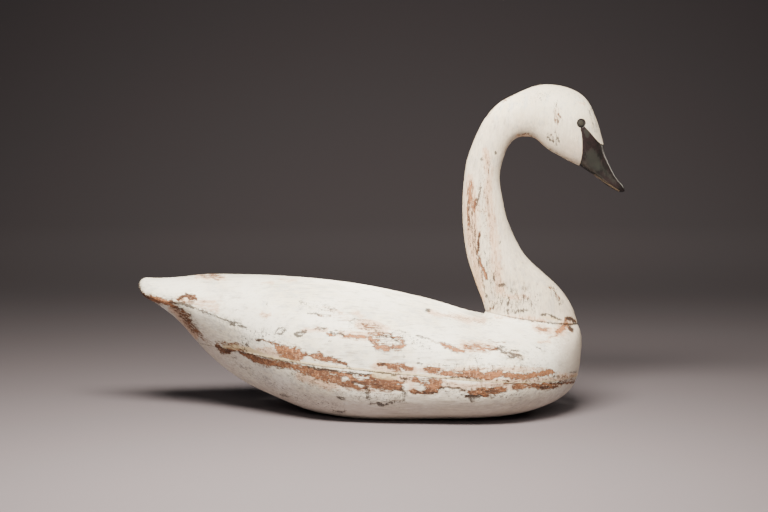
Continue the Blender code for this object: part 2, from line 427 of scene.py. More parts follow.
TAIL_MARKS = (
    Mark(Wear.BARE, 0.95, ((140, 293.2, 1.3), (145, 296, 2.2), (151, 298.6, 2.4)), 0.15),
    Mark(Wear.BARE, 0.95, ((151, 298.4, 2.2), (157, 300, 2.2), (164, 301.4, 2.2), (171, 303, 2.2)), 0.6),
    Mark(Wear.BARE, 0.6, ((139.2, 284, 0.9), (139.4, 290, 1.4))),
    Mark(
        Wear.BARE, 0.70, ((172, 305.6, 2.0), (178, 308.6, 3.2), (183.4, 312.6, 3.8), (186.6, 318.6, 3.9)), 0.42
    ),
    Mark(
        Wear.BARE, 0.70, ((186.6, 318.6, 3.9), (190.6, 324.6, 3.4), (196, 330.8, 2.8), (201.6, 335.8, 1.6)), 0.38
    ),
    Mark(Wear.DARK, 0.4, ((183, 308, 0.9), (189.6, 313, 1.1), (192, 320, 1.1), (198, 328.5, 1.0))),
    Mark(Wear.DARK, 0.55, ((177, 306, 1.0), (181, 309, 1.2))),
    Mark(Wear.THIN, 0.8, ((172, 308, 2.6), (179, 315, 2.6), (187, 325, 3.0), (196, 336, 2.4))),
    Mark(Wear.BARE, 0.55, ((201, 337, 2.2), (206, 340.4, 2.4), (211, 343, 1.6)), 0.5),
    Mark(Wear.KEPT, 1.0, ((178.6, 304.5, 0.8), (185, 307.4, 1.4), (192, 311.4, 1.6))),
    Mark(Wear.DARK, 0.9, ((170.3, 301.9, 0.7), (178, 303, 0.8), (184, 304.4, 0.8), (191, 306.8, 0.7))),
    Mark(Wear.DARK, 0.62, ((191, 306.8, 0.7), (198, 309.3, 0.6), (208, 313.2, 0.6), (222, 318.9, 0.7))),
    Mark(Wear.DARK, 0.72, ((222, 318.9, 0.7), (227, 320.4, 0.9))),
    Mark(Wear.DARK, 0.7, ((229, 321.4, 0.7), (237, 322.6, 0.8), (240, 324, 0.7))),
    Mark(Wear.DARK, 0.75, ((231, 324.7, 0.8), (235, 325.2, 0.7))),
    Mark(Wear.DARK, 0.75, ((238.6, 326, 0.7), (245.6, 327.2, 0.8))),
    Mark(Wear.DARK, 0.45, ((246, 329, 0.6), (256, 335.6, 0.6))),
    Mark(Wear.BARE, 0.95, ((178.2, 299.8, 1.2), (180.6, 296.9, 1.2), (186.6, 295.3, 1.3)), 0.15),
    Mark(Wear.BARE, 0.95, ((186.6, 295.3, 1.3), (193, 296.8, 1.5), (195.8, 300.2, 1.1)), 0.2),
    Mark(Wear.BARE, 0.8, ((189.6, 297.8, 2.0), (192.4, 300.2, 1.7)), 0.3),
    Mark(Wear.DARK, 0.55, ((179, 299, 0.8), (183, 295.8, 0.8), (190, 295.4, 0.9), (195.4, 299.6, 0.8))),
    Mark(Wear.BARE, 0.5, ((181.4, 299.6, 1.6), (186, 302.6, 1.4), (192, 304.6, 1.4)), 0.9),
    Mark(Wear.THIN, 0.6, ((181, 299.6, 4.0), (194, 301, 4.5), (206, 305.5, 5.0), (216, 309, 3.5))),
    Mark(Wear.THIN, 0.85, ((196, 301, 1.3), (205, 301.4, 1.0), (214.6, 301.4, 0.7))),
    Mark(Wear.THIN, 0.5, ((176, 301.6, 1.6), (187, 305, 1.6))),
    Mark(Wear.BARE, 0.72, ((200.6, 276.1, 0.9), (209, 276.4, 1.0), (213, 277.6, 0.9), (218, 280.2, 0.7)), 0.5),
    Mark(Wear.BARE, 0.68, ((209.4, 274.9, 0.9), (216, 276, 0.9), (224, 277.6, 0.7)), 0.4),
    Mark(Wear.THIN, 0.7, ((197, 276.6, 1.6), (212, 277, 2.2), (224, 277.6, 1.6))),
    Mark(Wear.THIN, 0.6, ((262, 283.2, 1.0), (267, 282.2, 1.2), (273, 283.4, 0.8))),
    Mark(Wear.THIN, 0.45, ((280, 279.4, 0.8), (296, 281.2, 1.2))),
)

STERN_MARKS = (
    Mark(Wear.BARE, 0.6, ((216.4, 342.4, 1.6), (226, 343.8, 2.2), (238, 345.2, 2.2)), 0.4),
    Mark(
        Wear.BARE, 1.0, ((216.4, 344.6, 1.0), (220, 348.4, 1.8), (225.6, 351.8, 2.2), (229.6, 351.2, 1.8)), 0.1
    ),
    Mark(Wear.DARK, 0.5, ((222.6, 350.4, 1.2), (228.6, 353, 1.2))),
    Mark(Wear.BARE, 0.8, ((228, 349.6, 2.2), (236, 349.6, 1.8), (243, 350.6, 1.4)), 0.4),
    Mark(Wear.FILLED, 0.85, ((225, 346.4, 1.2), (236, 346.8, 1.6), (246, 348.8, 1.5), (256, 352.2, 1.4))),
    Mark(Wear.FILLED, 0.75, ((256, 352.2, 1.4), (270, 357, 1.2), (290, 361, 1.0))),
    Mark(Wear.THIN, 0.9, ((230, 346.4, 2.4), (242, 348, 2.4), (252, 350.8, 1.6))),
    Mark(Wear.BARE, 1.0, ((240.4, 353.2, 1.0), (247, 355, 1.6), (254, 358.2, 2.4), (261, 361, 2.8)), 0.35),
    Mark(Wear.BARE, 1.0, ((261, 361, 2.8), (270, 363, 3.0), (279, 364.2, 2.4), (289.6, 365.4, 2.6)), 0.25),
    Mark(Wear.BARE, 0.75, ((256, 339.4, 0.9), (266, 341, 1.0), (273, 342.8, 1.6), (279, 345, 1.8)), 0.2),
    Mark(Wear.BARE, 1.0, ((277, 347.6, 2.0), (283, 350.6, 4.4), (290, 352.6, 5.0), (297, 355, 4.6)), 0.45),
    Mark(Wear.BARE, 1.0, ((284, 355.6, 3.0), (293, 357, 3.4), (300, 357.6, 2.4), (306, 355, 1.6)), 0.5),
    Mark(Wear.THIN, 0.75, ((258, 350, 3.2), (270, 352, 4.4), (282, 357, 3.0))),
    Mark(Wear.BARE, 0.5, ((261, 350, 1.6), (266, 350.6, 1.4)), 0.4),
    Mark(Wear.DARK, 0.85, ((257.6, 339.6, 0.9), (259.6, 340, 0.8))),
    Mark(Wear.DARK, 0.46, ((242.4, 336, 0.6), (242.6, 352, 0.6))),
    Mark(Wear.DARK, 0.56, ((245.6, 338, 0.6), (245.8, 352, 0.6))),
    Mark(Wear.DARK, 0.44, ((247.8, 337, 0.5), (248, 351, 0.5))),
    Mark(Wear.DARK, 0.52, ((262.6, 328, 0.7), (262.4, 338, 0.7))),
    Mark(Wear.DARK, 0.3, ((264.6, 327, 0.5), (264.6, 334, 0.5))),
    Mark(Wear.DARK, 0.8, ((276.6, 331.4, 0.6), (278.6, 328.6, 0.7), (282.6, 327.8, 0.5))),
    Mark(Wear.DARK, 0.75, ((277.4, 333.4, 0.6), (281.6, 333.6, 0.6), (285.6, 330.6, 0.5))),
    Mark(Wear.DARK, 0.5, ((266.6, 304.2, 0.7), (267.4, 306, 0.7))),
    Mark(Wear.THIN, 0.85, ((262, 314.4, 1.6), (266.6, 315.4, 1.8), (270.6, 315, 1.2))),
    Mark(Wear.BARE, 0.5, ((263, 315.6, 1.0), (267.4, 316.6, 1.0)), 0.8),
    Mark(Wear.DARK, 0.45, ((234, 310.2, 0.9), (237.6, 309.4, 0.7))),
    Mark(Wear.DARK, 0.45, ((235.4, 357.4, 1.0), (237, 358.6, 0.8))),
    Mark(Wear.THIN, 0.35, ((221, 301, 2.0), (226, 306, 1.4))),
)

MIDSHIPS_MARKS = (
    Mark(Wear.DARK, 0.45, ((299, 301.6, 0.8), (307, 303.4, 0.9))),
    Mark(Wear.DARK, 0.5, ((324.6, 307.7, 0.7), (331, 309, 0.8), (337, 310.6, 0.8))),
    Mark(Wear.THIN, 0.6, ((322, 307.4, 1.0), (336, 310, 1.6), (343, 313, 1.0))),
    Mark(Wear.DARK, 0.6, ((308, 313, 0.6), (318.6, 314.3, 0.8))),
    Mark(Wear.BARE, 0.62, ((318.6, 314.4, 1.0), (324, 315.6, 1.4), (330.8, 315.9, 0.8)), 0.8),
    Mark(Wear.THIN, 0.4, ((335, 314, 3.0), (348, 318, 3.4))),
    Mark(Wear.THIN, 0.55, ((353, 312, 2.0), (361, 316, 2.4))),
    Mark(Wear.DARK, 0.45, ((353, 319.4, 0.8), (360, 320.4, 0.8))),
    Mark(Wear.BARE, 0.60, ((361, 324, 1.6), (366, 325.8, 3.0), (370.6, 327, 2.4)), 0.8),
    Mark(Wear.BARE, 0.52, ((369, 325, 2.4), (377, 327, 2.6), (383.6, 330, 1.8)), 0.8),
    Mark(Wear.THIN, 1.0, ((359, 325, 3.0), (370, 326.6, 4.4), (385, 330, 3.4))),
    Mark(Wear.DARK, 0.9, ((295.2, 334.2, 0.9), (297.4, 336, 0.9), (301, 335.8, 0.7))),
    Mark(Wear.DARK, 0.85, ((296.6, 332.2, 0.7), (301, 331.6, 0.8), (306, 331.4, 0.7))),
    Mark(Wear.DARK, 0.55, ((301.6, 334, 0.7), (305, 333, 0.6))),
    Mark(Wear.THIN, 0.8, ((303, 330.4, 1.6), (314, 330, 1.6), (327, 330.4, 1.2))),
    Mark(Wear.DARK, 0.6, ((314.6, 329, 0.6), (325.6, 328.8, 0.7))),
    Mark(Wear.BARE, 0.8, ((326.4, 333.6, 0.9), (330.6, 334.6, 1.3), (334.6, 335, 0.8)), 0.8),
    Mark(Wear.DARK, 0.7, ((331, 332.8, 0.7), (338, 333.4, 0.8), (343.6, 334.8, 0.7))),
    Mark(Wear.DARK, 0.5, ((336, 329.6, 0.6), (343, 331, 0.7))),
    Mark(Wear.BARE, 0.85, ((343.6, 334.6, 1.2), (349, 336, 1.6), (356, 337.2, 1.7), (364, 337.2, 1.2)), 0.95),
    Mark(Wear.THIN, 0.85, ((340, 333.6, 2.4), (352, 335, 3.0), (366, 336, 3.0))),
    Mark(Wear.BARE, 0.95, ((369.6, 339, 1.6), (374, 343, 2.0), (378, 346.8, 2.4)), 0.5),
    Mark(Wear.BARE, 0.82, ((378, 346.8, 2.4), (385, 348.6, 2.3), (393, 347.6, 2.3), (400, 347.8, 1.9)), 0.6),
    Mark(Wear.BARE, 0.74, ((400, 347.8, 1.9), (404.6, 345, 1.8), (401, 340.4, 1.4), (398, 337.4, 1.2)), 0.9),
    Mark(Wear.BARE, 0.68, ((369, 333.6, 1.4), (379, 335, 2.2), (390, 336, 2.4), (399, 338, 1.8)), 0.9),
    Mark(Wear.BARE, 0.62, ((376, 340, 3.0), (388, 343, 3.4), (399, 344, 2.6)), 0.7),
    Mark(Wear.KEPT, 0.75, ((382, 340.6, 1.2), (388, 341.8, 1.4), (394, 341, 1.2))),
    Mark(Wear.KEPT, 0.85, ((393, 341.6, 0.9), (397, 342.4, 1.1))),
    Mark(Wear.DARK, 0.6, ((375, 337, 0.7), (383, 335.6, 0.9), (392, 337, 0.7))),
    Mark(Wear.DARK, 0.6, ((392.6, 338.6, 0.7), (398, 340.4, 0.7))),
    Mark(Wear.DARK, 0.5, ((400.6, 331, 0.8), (406.6, 332.2, 0.8))),
    Mark(Wear.DARK, 0.42, ((413, 344, 0.9), (419, 346.4, 1.1), (427, 347, 0.9), (430, 349.4, 0.7))),
    Mark(Wear.DARK, 0.5, ((418, 346, 0.6), (422, 345.6, 0.6))),
    Mark(Wear.DARK, 0.62, ((415.6, 335.6, 0.6), (424, 337.2, 0.7), (429, 338.6, 0.7))),
    Mark(Wear.BARE, 0.6, ((429, 339.2, 0.8), (434, 341.4, 1.1), (439, 343.6, 0.8)), 0.7),
    Mark(Wear.DARK, 0.95, ((426.4, 310.1, 0.8), (428.8, 310.6, 0.9))),
    Mark(Wear.THIN, 0.8, ((428.6, 311, 1.0), (433, 312.8, 1.8), (440, 315, 1.4), (446, 316, 0.9))),
    Mark(Wear.DARK, 0.35, ((403, 357, 0.9), (407, 357.4, 0.8))),
    Mark(Wear.DARK, 0.4, ((418, 358, 0.8), (422, 359.4, 0.8))),
    Mark(Wear.DARK, 0.4, ((329.6, 341, 1.0), (332, 341.6, 0.8))),
)

FORE_MARKS = (
    Mark(Wear.BARE, 0.95, ((441.4, 344.6, 1.2), (446, 346, 1.9), (450.6, 347, 1.5)), 0.9),
    Mark(Wear.BARE, 0.8, ((450.6, 347.6, 1.7), (457, 350.2, 1.8), (463, 351.8, 1.1)), 0.9),
    Mark(Wear.BARE, 0.72, ((465, 346.4, 1.8), (476, 347.4, 2.8), (486, 348.4, 2.6), (496, 348.6, 1.6)), 0.75),
    Mark(Wear.THIN, 0.75, ((463, 346, 3.0), (478, 347, 4.4), (497, 347.6, 3.0))),
    Mark(Wear.DARK, 0.4, ((466, 345, 0.8), (472, 349, 0.8))),
    Mark(Wear.BARE, 0.5, ((489.6, 341, 0.9), (497, 342.6, 1.2), (504, 341.4, 0.8)), 0.9),
    Mark(Wear.DARK, 0.85, ((498, 347.6, 0.8), (502, 351, 1.0), (506, 353.4, 0.8))),
    Mark(Wear.DARK, 0.7, ((500, 346.4, 0.6), (505, 347.6, 0.7))),
    Mark(Wear.DARK, 0.9, ((509, 352.6, 0.8), (514, 354.6, 0.9), (521, 355.6, 0.9))),
    Mark(Wear.DARK, 0.75, ((508, 356.4, 0.7), (513, 358, 0.8), (516, 356.6, 0.7))),
    Mark(Wear.DARK, 0.6, ((512, 350, 0.6), (518.6, 351, 0.7))),
    Mark(Wear.DARK, 0.55, ((521, 358.6, 0.7), (524, 360, 0.6))),
    Mark(Wear.THIN, 0.5, ((498, 350, 3.4), (512, 354, 4.0), (523, 357, 2.4))),
    Mark(Wear.DARK, 0.4, ((471, 357, 1.0), (475, 358.4, 0.9))),
    Mark(Wear.DARK, 0.33, ((477.6, 353, 0.6), (478.4, 361, 0.6))),
    Mark(Wear.DARK, 0.4, ((536, 346.4, 0.6), (540.6, 350, 0.8), (543.6, 354.6, 0.6))),
    Mark(Wear.DARK, 0.3, ((531, 349, 0.6), (536, 353, 0.7), (538, 358, 0.6))),
    Mark(Wear.THIN, 0.7, ((539, 342.4, 0.8), (550, 341.4, 0.8))),
    Mark(Wear.THIN, 0.72, ((446, 315, 1.6), (458, 317, 2.4), (470, 320, 2.6), (484, 321, 2.4))),
    Mark(Wear.DARK, 0.33, ((450, 316, 2.4), (470, 320, 2.6), (492, 324, 3.0))),
    Mark(Wear.DARK, 0.35, ((477.6, 318.4, 0.8), (480, 319.4, 0.8))),
)

UPPER_SEAM_MARKS = (
    Mark(Wear.BARE, 1.0, ((312.4, 355.6, 2.0), (317, 357, 3.2), (323, 359, 2.6), (328.6, 360.4, 1.6)), 0.35),
    Mark(Wear.BARE, 0.95, ((327, 359, 2.0), (334, 361, 2.6), (340, 362.6, 2.2), (346, 364, 1.0)), 0.25),
    Mark(Wear.BARE, 0.6, ((306, 354.6, 0.8), (313, 355.4, 0.9)), 0.2),
    Mark(Wear.DARK, 0.5, ((333, 358.6, 0.7), (339, 361.6, 0.8), (345, 363.4, 0.7))),
    Mark(Wear.DARK, 0.6, ((346.6, 366, 0.7), (350.6, 367.2, 0.6))),
    Mark(Wear.KEPT, 0.9, ((304, 359.4, 1.2), (312, 361.6, 1.4), (322, 363.6, 1.5), (340, 366.4, 1.4))),
    Mark(Wear.BARE, 0.95, ((377, 364.4, 0.9), (384, 365, 1.4), (391, 366.2, 1.8)), 0.1),
    Mark(Wear.BARE, 1.0, ((389, 366.6, 2.0), (397, 367.4, 2.8), (404, 368, 2.8), (411.4, 369, 1.2)), 0.25),
    Mark(Wear.DARK, 0.6, ((377.6, 364, 0.7), (384.6, 364.4, 0.8))),
    Mark(Wear.KEPT, 0.7, ((400, 368, 0.7), (403.4, 370, 0.8))),
    Mark(Wear.BARE, 0.6, ((392, 371.4, 0.8), (398, 372.6, 1.0)), 0.3),
    Mark(Wear.DARK, 0.7, ((417.4, 363.7, 0.7), (421.8, 364.2, 0.7))),
    Mark(Wear.BARE, 1.0, ((425, 368.6, 1.3), (431, 369.8, 2.8), (437, 370.2, 2.5)), 0.3),
    Mark(Wear.DARK, 0.5, ((428, 367, 0.7), (433, 372, 0.8))),
    Mark(Wear.THIN, 0.85, ((376, 366, 3.4), (396, 369, 4.0), (414, 370, 3.0))),
    Mark(Wear.THIN, 0.8, ((422, 369, 3.0), (441, 371.5, 3.4))),
    Mark(Wear.BARE, 1.0, ((441.6, 373, 1.5), (449, 374, 2.2), (457, 374.6, 2.0), (466, 374, 2.8)), 0.55),
    Mark(Wear.BARE, 1.0, ((466, 374, 2.8), (474, 373.8, 3.6), (480, 375.8, 3.0), (486, 376.6, 2.6)), 0.6),
    Mark(Wear.BARE, 1.0, ((486, 376.6, 2.6), (493, 374.4, 3.4), (500, 373.6, 2.8)), 0.7),
    Mark(Wear.BARE, 1.0, ((507, 374.4, 2.3), (514, 376, 2.4), (522, 376.8, 1.9), (531, 375.8, 1.9)), 0.65),
    Mark(Wear.BARE, 1.0, ((531, 375.8, 1.9), (540, 374, 2.0), (547, 372.6, 2.0), (551.4, 371.8, 2.0)), 0.75),
    Mark(Wear.BARE, 0.86, ((500, 374, 2.0), (507, 374.4, 1.6)), 0.6),
    Mark(Wear.THIN, 0.7, ((452, 371, 2.0), (476, 370, 3.0), (500, 370, 3.0), (545, 369.4, 1.6))),
    Mark(Wear.DARK, 0.55, ((450, 377, 0.7), (464, 377.6, 0.8), (482, 379.4, 0.7))),
    Mark(Wear.DARK, 0.5, ((508, 371.6, 0.6), (513, 373.4, 0.7))),
    Mark(Wear.DARK, 0.38, ((443, 360, 0.6), (443.2, 372, 0.7))),
    Mark(Wear.THIN, 0.8, ((558, 377, 2.4), (566, 376.6, 2.6), (575, 375.4, 1.8))),
    Mark(Wear.BARE, 0.6, ((557, 377.6, 1.2), (565, 377.4, 1.6), (574, 376, 1.2)), 0.9),
    Mark(Wear.DARK, 0.6, ((554, 376, 0.6), (558.6, 377, 0.7))),
    Mark(Wear.DARK, 0.5, ((570, 372.6, 0.7), (576, 372, 0.7))),
)

LOWER_SEAM_MARKS = (
    Mark(Wear.BARE, 1.0, ((288, 364.8, 1.0), (300, 367.8, 1.6), (315, 370.9, 2.0), (330, 373.0, 2.4)), 0.35),
    Mark(Wear.BARE, 1.0, ((330, 373.0, 2.4), (345, 375.2, 2.6), (360, 377.0, 2.6), (380, 379.6, 2.4)), 0.35),
    Mark(Wear.BARE, 0.9, ((380, 379.6, 2.4), (392, 381.4, 2.2), (402, 383.0, 1.6)), 0.25),
    Mark(Wear.THIN, 0.8, ((300, 376, 3.0), (330, 384, 3.4), (370, 388, 3.0), (400, 388, 3.0))),
    Mark(Wear.BARE, 1.0, ((289.6, 365.6, 1.4), (297, 367.6, 2.4), (305, 370, 3.2), (315, 373, 3.4)), 0.3),
    Mark(Wear.BARE, 1.0, ((315, 373, 3.6), (325, 375.8, 4.0), (335, 378.4, 4.2), (345, 380.6, 4.8)), 0.25),
    Mark(Wear.BARE, 1.0, ((345, 380.2, 5.2), (355, 381.4, 5.6), (365, 381.8, 5.6), (375, 383, 5.0)), 0.2),
    Mark(Wear.BARE, 1.0, ((375, 384, 4.4), (385, 385.2, 4.2), (393, 385.8, 4.2), (400, 387.4, 2.6)), 0.25),
    Mark(Wear.BARE, 0.7, ((297, 370.6, 1.4), (305, 373.6, 1.6), (312, 375.4, 1.2)), 0.3),
    Mark(Wear.DARK, 0.75, ((308, 366.8, 0.7), (320, 369.4, 0.8), (331, 370.6, 0.8), (340, 371.6, 0.6))),
    Mark(Wear.DARK, 0.7, ((346, 372.6, 0.6), (358, 374, 0.7), (369, 374.4, 0.6))),
    Mark(Wear.DARK, 0.5, ((352, 381.6, 1.2), (362, 384, 1.4), (372, 384, 1.3), (381, 386, 1.2))),
    Mark(Wear.DARK, 0.45, ((366, 376.6, 1.2), (372, 379.6, 1.3), (377, 381.6, 0.9))),
    Mark(Wear.DARK, 0.4, ((391, 386.6, 1.4), (398, 388.4, 1.3))),
    Mark(Wear.KEPT, 0.95, ((342.6, 379.2, 1.3), (346.6, 378, 1.3))),
    Mark(Wear.KEPT, 0.62, ((353, 376.6, 1.0), (361, 378.2, 1.2), (368, 377.4, 0.8))),
    Mark(Wear.KEPT, 0.6, ((354, 383.4, 0.7), (361, 385, 0.8))),
    Mark(Wear.KEPT, 0.55, ((329, 373, 0.9), (337, 375.4, 0.7))),
    Mark(Wear.FILLED, 0.9, ((374.4, 375.4, 1.6), (382, 376, 2.5), (390, 376.6, 2.1), (396, 377, 1.2))),
    Mark(Wear.DARK, 1.0, ((381.6, 372.3, 0.7), (389.8, 372.7, 0.7))),
    Mark(Wear.DARK, 0.8, ((376, 371.4, 0.6), (380, 371.6, 0.6))),
    Mark(Wear.DARK, 0.62, ((392, 375.4, 0.7), (396, 376.6, 0.8))),
    Mark(Wear.THIN, 0.85, ((396, 377.6, 3.0), (404, 379.6, 4.2), (412, 382, 4.4), (414, 388, 3.4))),
    Mark(Wear.DARK, 0.6, ((400, 376.4, 0.8), (404, 379.6, 1.0), (409, 378, 0.8))),
    Mark(Wear.DARK, 0.55, ((403, 381.4, 0.8), (407, 380.6, 0.8))),
    Mark(Wear.BARE, 1.0, ((414, 379, 1.8), (418, 380.4, 2.2), (422, 382, 2.0)), 0.5),
    Mark(Wear.BARE, 1.0, ((423, 382.6, 3.0), (428, 385, 5.4), (433, 385.6, 6.2), (437, 384.6, 4.6)), 0.45),
    Mark(Wear.BARE, 1.0, ((411.6, 391.8, 1.0), (419, 391.4, 2.0), (428, 391, 2.6), (436, 390.4, 1.8)), 0.25),
    Mark(Wear.KEPT, 0.9, ((415, 385, 1.6), (419.6, 386.8, 2.2), (422.6, 388, 1.6))),
    Mark(Wear.KEPT, 0.7, ((420, 380.4, 0.9), (428, 382, 0.9))),
    Mark(Wear.DARK, 0.5, ((412.4, 391.8, 0.8), (424, 392.8, 0.8), (436, 392.4, 0.7))),
    Mark(Wear.THIN, 0.8, ((437, 380, 2.0), (446, 384.6, 3.2), (455, 384.6, 2.8))),
    Mark(Wear.DARK, 0.75, ((440, 387.6, 0.7), (448, 387.4, 0.8), (455, 388, 0.8), (464, 389.6, 0.7))),
    Mark(Wear.DARK, 0.5, ((440.6, 384.6, 0.6), (449, 385, 0.7))),
    Mark(Wear.BARE, 0.6, ((455, 389.6, 0.8), (463, 390.6, 1.0), (470, 391.6, 1.2)), 0.3),
    Mark(Wear.BARE, 0.9, ((470, 392.4, 2.2), (477, 392.6, 3.4), (484, 392.2, 3.8), (491, 391.4, 3.4)), 0.3),
    Mark(Wear.BARE, 0.9, ((491, 391.4, 3.4), (498, 390.2, 3.2), (504.4, 389.6, 2.0)), 0.25),
    Mark(Wear.THIN, 0.95, ((441, 385.4, 2.0), (470, 386.6, 2.4), (500, 385.4, 2.0), (530, 385.4, 1.6))),
    Mark(Wear.BARE, 0.7, ((466, 395.4, 1.0), (476, 396, 1.2), (486, 395.4, 1.4), (495, 393.8, 1.2)), 0.4),
    Mark(Wear.DARK, 0.55, ((478, 389.6, 1.0), (486, 391.6, 1.2), (493, 388.8, 1.0))),
    Mark(Wear.DARK, 1.0, ((466.4, 396.2, 0.7), (473, 396.4, 0.9), (480.8, 396.4, 0.7))),
    Mark(Wear.DARK, 0.75, ((470.6, 398, 1.1), (471.2, 401.6, 0.9))),
    Mark(Wear.DARK, 0.35, ((462, 400, 1.4), (468, 401, 1.8), (474, 400.4, 1.2))),
    Mark(Wear.THIN, 0.8, ((505, 388.6, 1.4), (511, 387.6, 1.8), (516, 386, 1.8))),
    Mark(Wear.BARE, 0.95, ((513, 387.2, 1.4), (517.6, 387.2, 2.3), (522, 387, 1.5)), 0.25),
    Mark(Wear.BARE, 0.85, ((504.6, 383.8, 0.6), (514, 383.6, 0.7), (522, 384, 0.7), (534, 384.9, 0.9)), 0.3),
    Mark(Wear.BARE, 0.85, ((534, 384.9, 0.9), (549, 384.2, 1.0), (562, 383.6, 0.9), (574, 382, 0.7)), 0.5),
    Mark(Wear.BARE, 0.85, ((534, 386.6, 1.0), (541, 387.4, 2.0), (548, 387.6, 1.7), (557, 386.6, 0.9)), 0.35),
    Mark(Wear.BARE, 0.6, ((522, 387, 0.8), (534, 387.4, 0.9)), 0.4),
    Mark(Wear.DARK, 0.5, ((538, 386, 0.7), (544, 388.4, 0.8), (549, 387, 0.6))),
    Mark(Wear.BARE, 0.6, ((560, 381.2, 1.0), (568, 380.6, 1.4), (575, 379.6, 1.0)), 0.85),
    Mark(Wear.DARK, 0.55, ((549, 383.4, 0.5), (562, 382.8, 0.5))),
    Mark(Wear.THIN, 0.7, ((486, 385, 1.6), (500, 385.6, 1.8), (520, 386, 1.6), (560, 384.6, 1.6))),
    Mark(Wear.DARK, 0.62, ((366.8, 389.6, 2.0), (367.2, 394, 2.4), (369.4, 398.6, 1.8))),
    Mark(Wear.DARK, 0.6, ((368, 398.8, 0.9), (370.4, 398.6, 0.8))),
    Mark(Wear.DARK, 0.6, ((402.4, 388.8, 1.6), (404.2, 393, 1.9), (403.4, 400.6, 1.4))),
    Mark(Wear.DARK, 0.42, ((371, 390, 0.8), (384, 389.4, 0.9), (396, 390.6, 1.0))),
    Mark(Wear.DARK, 0.5, ((370, 403, 0.8), (374, 404, 0.8))),
    Mark(Wear.DARK, 0.8, ((377, 403.4, 0.8), (380.6, 404.2, 1.3), (383.6, 405, 0.8))),
    Mark(Wear.DARK, 0.6, ((386, 404, 0.8), (390, 403, 0.9), (396, 402, 0.7))),
    Mark(Wear.DARK, 0.4, ((384, 401.4, 0.6), (398, 401.8, 0.5))),
    Mark(Wear.DARK, 0.54, ((336.6, 396.6, 0.8), (341, 398.2, 1.3), (346, 399.4, 0.7))),
    Mark(Wear.DARK, 0.32, ((338, 394.6, 0.9), (345, 396, 1.0))),
    Mark(Wear.DARK, 0.42, ((291, 373, 1.2), (294.6, 374.2, 1.3))),
    Mark(Wear.DARK, 0.42, ((299.4, 388.4, 0.9), (303, 389.4, 0.8))),
    Mark(Wear.DARK, 0.35, ((316, 385, 0.8), (319, 386, 0.8))),
    Mark(Wear.DARK, 0.5, ((281, 393.6, 1.0), (289, 396.6, 1.2))),
    Mark(Wear.DARK, 0.5, ((333, 410.6, 0.9), (339, 411.4, 1.2), (345, 411, 0.8))),
    Mark(Wear.DARK, 0.3, ((303, 377, 0.8), (309, 379, 1.0))),
)

